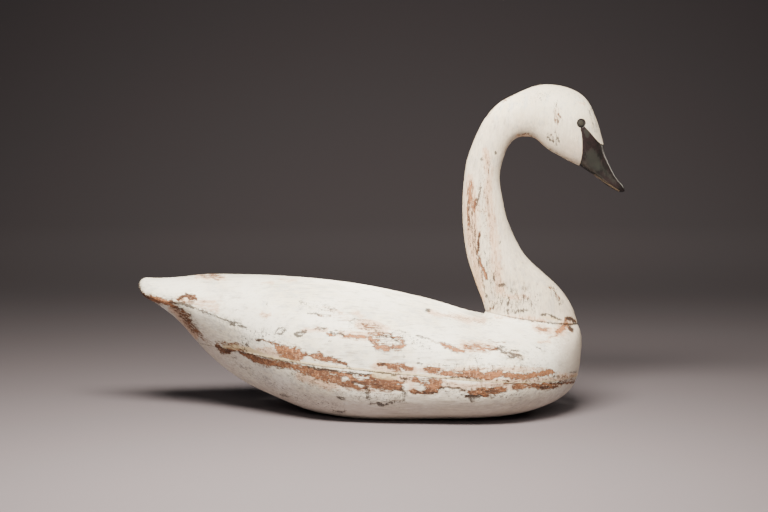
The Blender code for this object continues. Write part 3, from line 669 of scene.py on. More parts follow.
NECK_BASE_MARKS = (
    Mark(Wear.DARK, 0.72, ((541.6, 314.6, 0.5), (548, 314.4, 0.6), (554, 316.6, 0.7), (560.6, 320, 0.6))),
    Mark(Wear.FILLED, 0.6, ((543, 316.6, 0.9), (550, 317.6, 1.5), (557, 320, 1.1))),
    Mark(Wear.DARK, 0.95, ((494, 277.4, 0.7), (494.4, 280, 0.7))),
    Mark(Wear.DARK, 0.5, ((493.6, 273, 0.5), (494, 277, 0.5))),
    Mark(Wear.DARK, 0.95, ((499.6, 285, 0.8), (503.4, 284.6, 1.1))),
    Mark(Wear.BARE, 0.6, ((505.2, 282, 0.7), (505.6, 287, 0.7)), 0.9),
    Mark(Wear.DARK, 0.8, ((507.6, 302, 0.7), (507.4, 305, 0.8))),
    Mark(Wear.DARK, 0.7, ((507.4, 310, 0.7), (507.6, 313.4, 0.8))),
    Mark(Wear.DARK, 0.55, ((502.4, 300, 0.6), (502.2, 303, 0.6))),
    Mark(Wear.DARK, 0.5, ((495.6, 303, 0.6), (493.8, 307, 0.8))),
    Mark(Wear.BARE, 0.5, ((488, 310, 1.2), (494, 307, 1.6)), 0.6),
    Mark(Wear.DARK, 0.45, ((513.6, 293.6, 0.6), (514, 298, 0.6))),
    Mark(Wear.DARK, 0.5, ((517.6, 294, 0.6), (518.4, 299.6, 0.6))),
    Mark(Wear.DARK, 0.5, ((523.4, 294.6, 0.6), (523.6, 298.6, 0.6))),
    Mark(Wear.DARK, 0.5, ((527, 294.6, 0.5), (527.2, 299, 0.6))),
    Mark(Wear.DARK, 0.35, ((522.6, 281, 0.6), (523.4, 290, 0.6))),
    Mark(Wear.DARK, 0.3, ((529, 288, 0.6), (529.4, 294, 0.6))),
    Mark(Wear.THIN, 0.6, ((505, 296, 1.6), (515, 297.6, 3.0), (528, 297, 2.4))),
    Mark(Wear.DARK, 0.62, ((515.6, 312, 0.8), (520, 311, 1.5), (526.6, 310.6, 1.0))),
    Mark(Wear.DARK, 0.35, ((530, 309.6, 1.0), (536, 309, 1.0))),
    Mark(Wear.DARK, 0.3, ((512, 288, 0.5), (512.2, 312, 0.6))),
    Mark(Wear.DARK, 0.3, ((516, 300, 0.5), (516.2, 311, 0.5))),
    Mark(Wear.DARK, 0.25, ((520.6, 300, 0.5), (520.8, 310, 0.5))),
    Mark(Wear.DARK, 0.25, ((525, 300, 0.5), (525.2, 312, 0.5))),
    Mark(Wear.DARK, 0.28, ((531.6, 298, 0.5), (532, 313, 0.5))),
    Mark(Wear.DARK, 0.3, ((499, 292, 0.5), (499.4, 311, 0.6))),
    Mark(Wear.BARE, 0.62, ((548.8, 286.6, 0.9), (554, 289.4, 1.3)), 0.6),
    Mark(Wear.DARK, 0.5, ((555, 291, 0.6), (556.6, 294.6, 0.7))),
    Mark(Wear.BARE, 0.6, ((556, 294, 0.8), (560, 300.6, 1.0)), 0.6),
    Mark(Wear.DARK, 0.5, ((557, 299, 0.6), (561, 301.6, 0.7))),
    Mark(Wear.DARK, 0.42, ((559.6, 304, 0.6), (563, 304.6, 0.6))),
    Mark(Wear.THIN, 0.7, ((495, 316.4, 0.8), (510, 317.4, 1.6), (530, 319, 2.0), (545, 321.6, 1.6))),
    Mark(Wear.BARE, 0.9, ((566.6, 319.4, 1.6), (570, 318.8, 1.8), (573.6, 321, 1.2)), 0.2),
    Mark(Wear.DARK, 0.9, ((567.6, 319, 0.8), (571, 319.4, 0.9), (573, 322, 0.7))),
    Mark(Wear.DARK, 0.85, ((569.6, 327, 0.9), (571.6, 329.6, 1.0))),
    Mark(Wear.BARE, 0.8, ((568, 325.6, 1.4), (571, 330, 1.6)), 0.6),
    Mark(Wear.BARE, 0.85, ((565.6, 324, 1.8), (562, 329, 2.4), (557, 333, 1.6)), 0.85),
    Mark(Wear.THIN, 0.9, ((567, 323, 3.4), (562, 329, 4.0), (556, 334, 2.6))),
    Mark(Wear.BARE, 0.55, ((556, 335, 0.8), (551, 338, 0.8)), 0.7),
    Mark(Wear.BARE, 0.72, ((536.6, 328, 1.2), (541, 329.4, 2.0), (546, 330, 1.2)), 1.0),
    Mark(Wear.THIN, 0.8, ((534, 327, 2.4), (541, 329, 3.4), (549, 330.6, 2.4))),
    Mark(Wear.THIN, 0.6, ((549, 338.6, 0.8), (557, 336.4, 1.0))),
)

NECK_MARKS = (
    Mark(Wear.BARE, 0.72, ((470.8, 180.4, 1.2), (470.2, 188, 2.4), (470.4, 197, 2.6), (472, 207, 2.3)), 0.85),
    Mark(Wear.BARE, 0.66, ((472, 206, 2.2), (472.4, 211, 1.6), (472, 216, 0.9)), 0.7),
    Mark(Wear.BARE, 0.85, ((476, 198, 0.8), (475, 204, 1.0), (473.8, 210, 0.8)), 0.3),
    Mark(Wear.BARE, 0.75, ((468, 190, 0.7), (468, 204, 0.9), (468.4, 218, 0.8), (468.6, 230, 0.6)), 0.35),
    Mark(
        Wear.THIN, 0.9, ((470, 176, 2.0), (470.6, 196, 5.0), (472, 220, 5.0), (473, 250, 4.0), (480, 300, 3.0))
    ),
    Mark(Wear.THIN, 0.7, ((486, 150, 2.0), (488, 180, 4.0), (492, 230, 4.0), (500, 290, 4.0))),
    Mark(Wear.DARK, 0.5, ((474, 222, 0.5), (475, 246, 0.6), (480, 270, 0.6), (486, 296, 0.5))),
    Mark(Wear.DARK, 0.45, ((469.4, 206, 0.5), (470, 236, 0.6), (473, 262, 0.5))),
    Mark(Wear.DARK, 0.4, ((484, 250, 0.5), (488, 272, 0.5), (492, 296, 0.6))),
    Mark(Wear.DARK, 0.36, ((488, 196, 0.5), (490, 216, 0.5), (492, 232, 0.5))),
    Mark(Wear.DARK, 0.5, ((472, 212, 0.6), (472, 228, 0.6), (473.4, 250, 0.5))),
    Mark(Wear.DARK, 0.7, ((480.8, 187.6, 0.7), (479.4, 194, 0.7), (478.2, 200, 0.7))),
    Mark(Wear.DARK, 0.5, ((478, 201, 0.6), (476.4, 207, 0.6))),
    Mark(Wear.DARK, 0.35, ((480.4, 178, 0.6), (480.8, 186, 0.6))),
    Mark(Wear.BARE, 0.8, ((478.6, 231.6, 0.7), (478.2, 240, 0.8), (478, 250, 0.8)), 0.1),
    Mark(Wear.BARE, 0.85, ((478, 250, 0.8), (480.4, 262, 0.9), (484, 272, 1.5), (486.6, 279, 1.1)), 0.3),
    Mark(Wear.DARK, 0.55, ((478.2, 236, 0.6), (478.4, 252, 0.6))),
    Mark(Wear.BARE, 0.7, ((489.4, 164.6, 0.6), (489.2, 170, 0.8), (488.4, 175, 0.5)), 0.2),
    Mark(Wear.DARK, 0.8, ((481.8, 159, 0.7), (482, 160.2, 0.7))),
    Mark(Wear.DARK, 0.8, ((495.2, 152, 0.7), (495.8, 153, 0.7))),
    Mark(Wear.DARK, 0.6, ((499.6, 241.4, 0.7), (500, 242.4, 0.7))),
    Mark(Wear.DARK, 0.35, ((494.4, 208, 0.5), (495, 220, 0.5))),
    Mark(Wear.DARK, 0.35, ((491, 178, 0.6), (490.4, 186, 0.5))),
    Mark(Wear.THIN, 0.6, ((518, 136.4, 1.6), (526, 134.6, 1.4), (534, 138, 1.2), (542, 144, 1.2))),
    Mark(Wear.BARE, 0.55, ((519, 135, 0.9), (526, 133.6, 0.9), (533, 136.6, 0.8)), 0.5),
    Mark(Wear.BARE, 0.5, ((545, 147, 0.7), (556, 153.6, 0.8), (568, 160.4, 0.8), (579, 166.4, 0.7)), 0.3),
    Mark(Wear.BARE, 0.55, ((503, 101.4, 0.7), (510, 96.6, 0.8), (517, 92.6, 0.7)), 0.9),
    Mark(Wear.BARE, 0.45, ((487, 117, 0.6), (494, 108.6, 0.6)), 0.9),
)

BILL_MARKS = (
    Mark(Wear.RUBBED, 1.0, ((592, 156, 4.0), (594, 162, 4.6), (597, 167, 2.4))),
    Mark(Wear.RUBBED, 0.8, ((586.4, 131, 1.4), (587, 135, 1.4))),
    Mark(Wear.RUBBED, 0.5, ((600, 165, 2.0), (607, 173, 2.0), (614, 181, 1.6))),
)

COMBED_MARKS = (
    Mark(Wear.COMBED, 1.0, ((500, 303, 7.0), (514, 301, 9.0), (530, 301, 7.0))),
    Mark(Wear.COMBED, 0.8, ((512, 288, 5.0), (526, 291, 5.0))),
    Mark(Wear.COMBED, 0.5, ((490, 250, 4.0), (494, 280, 6.0))),
)

SIDE_COMBED_MARKS = (
    Mark(Wear.COMBED, 1.0, ((243, 338, 3.0), (246, 345, 3.6), (248, 352, 2.4))),
    Mark(Wear.COMBED, 0.8, ((262, 330, 2.4), (263, 338, 2.4))),
    Mark(Wear.COMBED, 0.8, ((470, 389, 2.6), (488, 389, 3.0), (505, 388, 2.4))),
    Mark(Wear.COMBED, 0.6, ((448, 368, 3.0), (470, 368, 3.4), (500, 369, 3.0))),
    Mark(Wear.COMBED, 0.5, ((366, 392, 3.0), (384, 394, 5.0), (404, 394, 3.0))),
    Mark(Wear.COMBED, 0.5, ((380, 344, 4.0), (398, 346, 4.0))),
    Mark(Wear.COMBED, 0.4, ((228, 326, 4.0), (262, 336, 5.0))),
)

SIDE_SPECKS = (
    Mark(Wear.THIN, 0.95, ((441, 379.6, 1.8), (470, 381.0, 2.0), (510, 381.6, 2.0), (572, 379.6, 1.6))),
    Mark(Wear.DARK, 0.34, ((441, 380.0, 2.4), (510, 381.4, 2.4), (572, 379.4, 2.4))),
    Mark(Wear.DARK, 0.34, ((352, 322, 4.0), (372, 330, 6.0), (402, 338, 6.0))),
    Mark(Wear.DARK, 0.34, ((411, 338, 3.0), (421, 345, 5.0), (430, 349, 3.0))),
    Mark(Wear.DARK, 0.36, ((494, 348, 3.0), (508, 352, 5.0), (524, 357, 3.0))),
    Mark(Wear.DARK, 0.33, ((246, 338, 5.0), (262, 334, 5.0), (284, 331, 4.0))),
    Mark(Wear.DARK, 0.32, ((470, 356, 3.0), (480, 358, 3.0))),
    Mark(Wear.DARK, 0.30, ((222, 318, 3.0), (240, 324, 4.0))),
    Mark(Wear.DARK, 0.28, ((300, 304, 5.0), (335, 310, 5.0))),
    Mark(Wear.DARK, 0.30, ((440, 366, 3.0), (480, 367, 3.0), (540, 366, 3.0))),
)

LOW_SPECKS = (
    Mark(Wear.DARK, 0.33, ((290, 376, 4.0), (316, 384, 5.0), (350, 394, 5.0), (400, 398, 6.0))),
    Mark(Wear.DARK, 0.33, ((440, 388, 4.0), (470, 396, 5.0), (520, 394, 4.0))),
    Mark(Wear.DARK, 0.30, ((232, 360, 4.0), (290, 394, 5.0), (340, 408, 4.0))),
)

NECK_SPECKS = (
    Mark(Wear.DARK, 0.36, ((494, 302, 7.0), (512, 300, 9.0), (530, 300, 7.0))),
    Mark(Wear.DARK, 0.32, ((490, 262, 4.0), (498, 284, 6.0))),
    Mark(Wear.DARK, 0.34, ((548, 137, 3.0), (556, 141, 4.0))),
    Mark(Wear.DARK, 0.32, ((555, 106, 3.0), (557, 124, 4.0))),
    Mark(Wear.DARK, 0.28, ((536, 98, 3.0), (550, 94, 3.0))),
    Mark(Wear.DARK, 0.30, ((552, 288, 4.0), (562, 304, 4.0))),
    Mark(Wear.DARK, 0.28, ((485, 160, 5.0), (482, 200, 6.0), (488, 240, 6.0))),
)

HEAD_MARKS = (
    Mark(Wear.BARE, 0.62, ((555, 111, 0.7), (554, 116, 0.9), (555.4, 122.6, 0.8)), 0.7),
    Mark(Wear.BARE, 0.85, ((558.6, 113, 0.7), (560.4, 117.6, 0.9), (558.6, 121.6, 0.8)), 0.3),
    Mark(Wear.DARK, 0.6, ((556.6, 104.8, 0.8), (556.9, 106.2, 0.8))),
    Mark(Wear.DARK, 0.5, ((556.6, 122, 0.8), (556.8, 125.4, 0.6))),
    Mark(Wear.THIN, 0.55, ((557, 108, 1.8), (557.2, 117, 3.4), (557, 125, 1.8))),
    Mark(Wear.DARK, 0.35, ((556.6, 126, 0.5), (556, 145, 0.5))),
    Mark(Wear.DARK, 0.8, ((547.4, 136.6, 0.6), (548.2, 137.2, 0.6))),
    Mark(Wear.DARK, 0.75, ((551, 135.2, 0.6), (551.8, 134.8, 0.6))),
    Mark(Wear.DARK, 0.8, ((550.4, 140.4, 0.7), (553.2, 141.2, 0.7))),
    Mark(Wear.DARK, 0.7, ((557, 138, 0.6), (557.6, 138.6, 0.6))),
    Mark(Wear.DARK, 0.8, ((558.2, 141.4, 0.8), (559, 142.4, 0.7))),
    Mark(Wear.DARK, 0.6, ((555.6, 144.6, 0.6), (556.2, 145.2, 0.6))),
    Mark(Wear.DARK, 0.35, ((574, 138, 1.0), (576, 140, 0.9))),
    Mark(Wear.THIN, 0.6, ((579, 102.6, 1.0), (584.6, 103.6, 1.0))),
    Mark(Wear.DARK, 0.42, ((590.4, 106, 0.5), (594.6, 117, 0.5), (597.4, 132, 0.5))),
    Mark(Wear.DARK, 0.36, ((588.6, 110, 0.5), (592.4, 122, 0.5), (594.6, 134, 0.5))),
    Mark(Wear.DARK, 0.3, ((571, 92, 0.5), (580, 97, 0.6), (586, 103, 0.5))),
    Mark(Wear.DARK, 0.3, ((536, 96, 0.8), (548, 93, 0.8))),
)

NECK_WEAR = NECK_BASE_MARKS + NECK_MARKS + HEAD_MARKS + BILL_MARKS + COMBED_MARKS + NECK_SPECKS


def wear_field(kind: Wear, marks: Iterable[Mark], spots: np.ndarray) -> tuple[np.ndarray, np.ndarray]:
    """How strongly one kind of wear shows at places of the picture.

    Args:
        kind: the kind of wear.
        marks: the marks to look through.
        spots: picture places, one row each.

    Returns:
        The strength at each spot, 0 to 1, and how warm the bare wood is there.
    """
    strength, warm = np.zeros(len(spots)), np.full(len(spots), 0.4)
    for mark in (m for m in marks if m.kind is kind):
        spine = np.array(mark.spine, dtype=float)
        reach = 2.8 * spine[:, 2].max() + 2.0
        low, high = spine[:, :2].min(axis=0) - reach, spine[:, :2].max(axis=0) + reach
        near = np.flatnonzero(np.all((spots > low) & (spots < high), axis=1))
        distance, breadth = along_line(spots[near], spine)
        here = mark.strength * np.clip(1.15 - 0.45 * distance / (breadth + 0.3), 0.0, 1.0)
        stronger = here > strength[near]
        strength[near[stronger]] = here[stronger]
        warm[near[stronger]] = mark.warm
    return strength, warm


def frayed(points: np.ndarray) -> np.ndarray:
    """Small uneven shifts, in pixels, which keep the edges of the marks from running smoothly."""
    shifts = [0.55 * ripple(points, 0.017, seed) + 0.35 * ripple(points, 0.007, seed + 1) for seed in (71, 83)]
    return np.stack(shifts, axis=1)


# Carved pieces

def billet(name: str, rings: int, around: int) -> tuple[bpy.types.Object, np.ndarray]:
    """A round billet the size of a node's box, cut into even rings along X, ready to be carved.

    Args:
        name: the piece's name.
        rings: how many rings it has, ends included.
        around: how many points each ring has.

    Returns:
        The piece, and the index of its point for each ring and place round it.
    """
    low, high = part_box(name)
    size, centre = high - low, (high + low) / 2
    bpy.ops.object.select_all(action="DESELECT")
    bpy.ops.mesh.primitive_cylinder_add(
        vertices=around, radius=size.y / 2, depth=size.x, end_fill_type="NGON",
        location=centre, rotation=(0, math.pi / 2, 0),
    )
    piece = bpy.context.object
    piece.name = piece.data.name = "carved_" + name
    bpy.ops.object.transform_apply(location=True, rotation=True, scale=True)
    bpy.ops.object.mode_set(mode="EDIT")
    bpy.ops.mesh.select_mode(type="EDGE")
    bpy.ops.mesh.select_all(action="DESELECT")
    mesh = bmesh.from_edit_mesh(piece.data)
    for edge in mesh.edges:
        start, end = (v.co.x for v in edge.verts)
        edge.select_set(abs(start - end) > size.x / 2)
    bmesh.update_edit_mesh(piece.data)
    bpy.ops.mesh.subdivide_edgering(number_cuts=rings - 2, interpolation="LINEAR", smoothness=0)
    bpy.ops.object.mode_set(mode="OBJECT")
    places = read_points(piece)
    ring = np.rint((places[:, 0] - low.x) / size.x * (rings - 1)).astype(int)
    turn = np.arctan2(places[:, 2] - centre.z, places[:, 1] - centre.y) / (2 * math.pi)
    spot = np.rint(turn * around).astype(int) % around
    order = np.empty((rings, around), dtype=int)
    order[ring, spot] = np.arange(len(places))
    return piece, order


def read_points(piece: bpy.types.Object) -> np.ndarray:
    """The piece's points, one row each."""
    places = np.empty(len(piece.data.vertices) * 3, dtype=np.float32)
    piece.data.vertices.foreach_get("co", places)
    return places.reshape(-1, 3).astype(float)


def grid_normals(grid: np.ndarray) -> np.ndarray:
    """Outward normals of a closed tube of rings.

    Args:
        grid: the rings of points.

    Returns:
        A normal for each point.
    """
    along = np.gradient(grid, axis=0)
    around = np.roll(grid, -1, axis=1) - np.roll(grid, 1, axis=1)
    normals = np.cross(around, along)
    return normals / np.maximum(np.linalg.norm(normals, axis=2, keepdims=True), 1e-12)


@dataclass
class CarvedPiece:
    """A wooden piece of the decoy, carved from a billet and dressed in its worn paint.

    Args:
        node: the frame's node that it stands for.
        rings: how many rings it is carved with.
        around: how many points each ring has.
        marks: the wear on it that the photograph shows.
        other_side: how far, in pixels, the wear is moved on the side that the photograph hides.
        looks: strength of each kind of wear at each point, filled in by carve.
    """

    node: str
    rings: int
    around: int
    marks: tuple[Mark, ...]
    other_side: tuple[float, float] = (0.0, 0.0)
    looks: dict[str, np.ndarray] = field(default_factory=dict)

    def grid(self) -> np.ndarray:
        """The carved surface, as rings of points."""
        raise NotImplementedError

    def relief(self, points: np.ndarray) -> np.ndarray:
        """How far each point stands proud of the plain carving."""
        raise NotImplementedError

    def spots(self, points: np.ndarray) -> np.ndarray:
        """Picture places of points, with the hidden side seen as in a mirror and its wear moved."""
        shown = points * (1, -1, 1)
        shown[:, 1] = -np.abs(points[:, 1])
        hidden = smooth(points[:, 1], 0.004, 0.03)[:, None]
        return VIEW.pixels(shown) + hidden * self.other_side

    def read_wear(self, points: np.ndarray) -> None:
        """Notes how strongly each kind of wear shows at each point."""
        spots = self.spots(points) + frayed(points)
        for kind in Wear:
            strength, warm = wear_field(kind, self.marks, spots)
            self.looks[kind.value] = strength
            if kind is Wear.BARE:
                self.looks["warm"] = warm
        for kind in (Wear.BARE, Wear.THIN):
            self.looks[kind.value] *= 1 - 0.62 * self.looks[Wear.KEPT.value]
        # Brown grey of dirt and painted shade, low down, under overhangs and in hollows
        self.looks["dirt_and_shade"] = self.dirt_and_shade(points)

    def dirt_and_shade(self, points: np.ndarray) -> np.ndarray:
        """How much brown grey the paint takes at each point, as dirt and as painted shade: most of all near the
        floor, under the stern and on the breast.
        """
        breast = smooth(points[:, 0], 0.26, 0.34)
        stern = 0.9 * (1 - smooth(points[:, 0], -0.33, -0.15)) * (1 - smooth(points[:, 2], 0.10, 0.20))
        low = 0.14 + 0.86 * (1 - smooth(points[:, 2], 0.0, 0.10))
        return np.maximum(np.maximum(breast, stern), low)

    def carve(self) -> bpy.types.Object:
        """Makes the piece.

        Returns:
            The finished piece, with its wear as attributes.
        """
        piece, order = billet(self.node, self.rings, self.around)
        grid = self.grid()
        flat = grid.reshape(-1, 3)
        self.read_wear(flat)
        height = self.relief(flat)
        flat = flat + grid_normals(grid).reshape(-1, 3) * height[:, None]
        flat = self.settle(flat)
        places = np.empty_like(flat)
        places[order.ravel()] = flat
        piece.data.vertices.foreach_set("co", places.ravel())
        for look, values in self.looks.items():
            layer = piece.data.attributes.new(look, "FLOAT", "POINT")
            sorted_values = np.empty(len(places))
            sorted_values[order.ravel()] = values
            layer.data.foreach_set("value", sorted_values)
        bpy.ops.object.mode_set(mode="EDIT")
        bpy.ops.mesh.select_all(action="SELECT")
        bpy.ops.mesh.normals_make_consistent(inside=False)
        bpy.ops.object.mode_set(mode="OBJECT")
        bpy.ops.object.shade_smooth_by_angle(angle=math.radians(50))
        return piece

    def settle(self, points: np.ndarray) -> np.ndarray:
        """Keeps the points clear of what the piece stands on."""
        return points

    def dress(self, piece: bpy.types.Object, paint: bpy.types.Material) -> None:
        """Gives the piece its paint and its place in the frame."""
        piece.data.materials.clear()
        piece.data.materials.append(paint)
        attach(piece, BODY)
        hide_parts(self.node)
        places = read_points(piece).round(4)
        low, high = places.min(axis=0), places.max(axis=0)
        LOG.info("%s: %d faces, %s to %s", piece.name, len(piece.data.polygons), low, high)


@dataclass
class BodyBlock(CarvedPiece):
    """One of the two body blocks, which meet on the sloping seam.

    Args:
        chord: how many points each ring has on the hidden seam face.
    """

    chord: int = 7

    def side_angles(self, row: np.ndarray, count: int) -> np.ndarray:
        """Angles of the points down one side of a section, from its middle plane to the seam.

        Args:
            row: the section's station numbers.
            count: how many points.

        Returns:
            The angles.
        """
        raise NotImplementedError

    @staticmethod
    def seam_angle(row: np.ndarray, height: float) -> float:
        """The angle at which a section's +Y side crosses a height.

        Args:
            row: the section's station numbers.
            height: the height.

        Returns:
            The angle.
        """
        _, uz, _, lz, _, widest, crown, bilge = row
        share = np.clip((height - lz) / (uz - lz), 0.0, 1.0)
        above = share > widest
        rise = (share - widest) / ((1 - widest) if above else widest)
        power = 2 / (crown if above else bilge)
        return math.asin(math.copysign(abs(rise) ** (1 / power), rise))

    def blocks_grid(self, rows: np.ndarray, sides: Sequence[np.ndarray]) -> np.ndarray:
        """Rings of points, each mirrored from one side and closed along the seam.

        Args:
            rows: station numbers of the sections.
            sides: for each section, the angles of its points down one side.

        Returns:
            The rings.
        """
        found = []
        for row, angles in zip(rows, sides):
            left = section_point(np.tile(row, (len(angles), 1)), angles)
            right = left[::-1] * (1, -1, 1)
            arc = np.vstack((right[:-1], left))
            shares = (np.arange(1, self.chord + 1) / (self.chord + 1))[:, None]
            found.append(np.vstack((arc, arc[-1] + shares * (arc[0] - arc[-1]))))
        return np.array(found)

    def seam_distance(self, points: np.ndarray) -> np.ndarray:
        """Distance of points from the seam plane."""
        return np.abs(points[:, 2] - seam_height(points[:, 0])) / math.hypot(1, SEAM_SLOPE)

    def mark_seam(self, points: np.ndarray, lip: np.ndarray, shown: np.ndarray | float = 1.0) -> None:
        """Notes the old filler and the dark gap along the seam.

        Args:
            points: the points.
            lip: how surely each lies on the lip that holds filler.
            shown: 0 where the seam doesn't show.
        """
        openness, filler = seam_state(points[:, 0])
        self.looks["filled"] = np.maximum(self.looks["filled"], lip * filler * shown)
        gap = (1 - smooth(self.seam_distance(points), 0.4 * MM, 1.8 * MM)) * openness * shown
        self.looks["dark"] = np.maximum(self.looks["dark"], 0.95 * gap)


def carving_waves(points: np.ndarray, seed: int) -> np.ndarray:
    """Height of the marks that the drawknife and the sanding left on a carved surface."""
    stretched = points * (0.35, 1, 1)
    return 0.34 * MM * ripple(stretched, 0.042, seed) + 0.10 * MM * ripple(points, 0.013, seed + 1)


def worn_depth(looks: dict[str, np.ndarray]) -> np.ndarray:
    """How deep the wear goes: lost paint and the cracks and dents that it left."""
    return 0.22 * MM * looks["bare"] + 0.5 * MM * smooth(looks["dark"], 0.35, 1.0)


# The low ridge of the stern, in the photograph's pixels
CHINE_LINE = np.array(((170.3, 301.9, 1), (191, 306.8, 1), (222, 318.9, 1), (252, 332, 1)))

# Along X: how open the seam is, and how much old filler it shows
SEAM_STATES = (
    (-0.320, 0.5, 0.1), (-0.270, 0.5, 0.15), (-0.240, 0.75, 0.25), (-0.190, 0.75, 0.6), (-0.150, 0.6, 0.9),
    (-0.100, 0.7, 0.95), (-0.040, 0.5, 0.95), (-0.012, 0.9, 0.7), (0.006, 1.0, 0.5), (0.030, 0.7, 0.6),
    (0.060, 0.5, 0.85), (0.110, 0.45, 0.8), (0.170, 0.35, 0.6), (0.220, 0.3, 0.5), (0.345, 0.35, 0.45),
)


def beside_neck(x: np.ndarray) -> np.ndarray:
    """1 at the sides and the front of the neck's foot, and 0 behind it, where its joint is closed."""
    return smooth(x, 0.19, 0.22)


def seam_state(x: np.ndarray) -> tuple[np.ndarray, np.ndarray]:
    """How open the seam is along the body, and how much old filler shows on its lips."""
    places, openness, filler = np.array(SEAM_STATES).T
    return np.interp(x, places, openness), np.interp(x, places, filler)


@dataclass
class UpperBody(BodyBlock):
    """The upper body block, from the tail to the breast, with the seat that the neck stands on.

    Args:
        foot: the neck's foot, as a closed line of points on the seat.
        fairing: how far the rise to the seat spreads over the back.
        seat_points: how many points each side of a ring has on the seat.
    """

    foot: np.ndarray | None = None
    fairing: float = 9 * MM
    seat_points: int = 4

    def foot_half_width(self, x: float) -> float:
        """Half breadth of the neck's foot at x, or nothing beyond its ends."""
        left = self.foot[self.foot[:, 1] >= 0]
        left = left[np.argsort(left[:, 0])]
        return float(np.interp(x, left[:, 0], left[:, 1], left=0.0, right=0.0))

    def grid(self) -> np.ndarray:
        """The carved surface, as rings of points."""
        lines = FairedLines(BODY_STATIONS)
        places = lines.evenly(0, len(BODY_STATIONS) - 1, self.rings)
        rows = lines.at(places)
        count = (self.around - self.chord + 1) // 2
        sides = [self.side_angles(row, count) for row in rows]
        grid = self.blocks_grid(rows, sides)
        flat = grid.reshape(-1, 3)
        inward = side_of_line(flat[:, :2], self.foot[:, :2])
        top = flat[:, 2] > seam_height(flat[:, 0]) + 25 * MM
        share = np.clip(1 + inward / self.fairing, 0.0, 1.0)
        lift = np.maximum(seat_height(flat[:, 0]) - flat[:, 2], 0.0) * share**2.6
        flat[:, 2] += np.where(top, lift, 0.0)
        flat[:, 2] = np.where(top & (inward > -1e-6), seat_height(flat[:, 0]), flat[:, 2])
        return flat.reshape(grid.shape)

    def side_angles(self, row: np.ndarray, count: int) -> np.ndarray:
        """Angles of the points down one side of a section, from its middle plane to the seam."""
        edge = self.seam_angle(row, seam_height(row[0]) + TOUCH_GAP / 2)
        fine = np.linspace(math.pi / 2, max(edge, -math.pi / 2 + 0.02), 500)
        curve = section_point(np.tile(row, (len(fine), 1)), fine)
        widest = int(np.argmax(curve[:, 1])) + 1
        pinned = max(self.foot_half_width(row[0]), 0.02 * row[4], 0.2 * MM)
        pin = np.interp(pinned, curve[:widest, 1], fine[:widest])
        outer = np.linspace(pin, fine[-1], 500)
        curve = section_point(np.tile(row, (len(outer), 1)), outer)
        shares = np.linspace(0, 1, count - self.seat_points)
        shares = shares + 0.12 * shares * (1 - shares)
        return np.concatenate(
            (np.linspace(math.pi / 2, pin, self.seat_points, endpoint=False), spread(curve, outer, shares))
        )

    def read_wear(self, points: np.ndarray) -> None:
        """Notes the wear, the state of the seam and the dark joint round the neck's foot."""
        super().read_wear(points)
        lip = 1 - smooth(self.seam_distance(points), 2.0 * MM, 4.6 * MM)
        self.mark_seam(points, lip, points[:, 0] > SEAM_STERN_X)
        joint = np.abs(side_of_line(points[:, :2], self.foot[:, :2]))
        near = (joint < 3 * MM) & (points[:, 2] > SEAT_LOWEST_Z)
        lip = np.where(near, 1 - smooth(joint, 0.4 * MM, 1.6 * MM), 0.0) * beside_neck(points[:, 0])
        self.looks["dark"] = np.maximum(self.looks["dark"], 0.6 * lip)

    def relief(self, points: np.ndarray) -> np.ndarray:
        """How far each point stands proud of the plain carving."""
        distance = self.seam_distance(points)
        openness, _ = seam_state(points[:, 0])
        lip = (1 - smooth(distance, 0.0, 2.0 * MM)) * (points[:, 0] > SEAM_STERN_X)
        height = carving_waves(points, 11) * smooth(distance, 1 * MM, 8 * MM)
        joint = side_of_line(points[:, :2], self.foot[:, :2])
        on_seat = (joint > -0.8 * MM) & (points[:, 2] > SEAT_LOWEST_Z)
        height = height - worn_depth(self.looks) - SEAM_HOLLOW * lip * openness
        chine, _ = along_line(self.spots(points), CHINE_LINE)
        return np.where(on_seat, 0.0, height + 0.5 * MM * (1 - smooth(chine, 1.0, 4.5)))


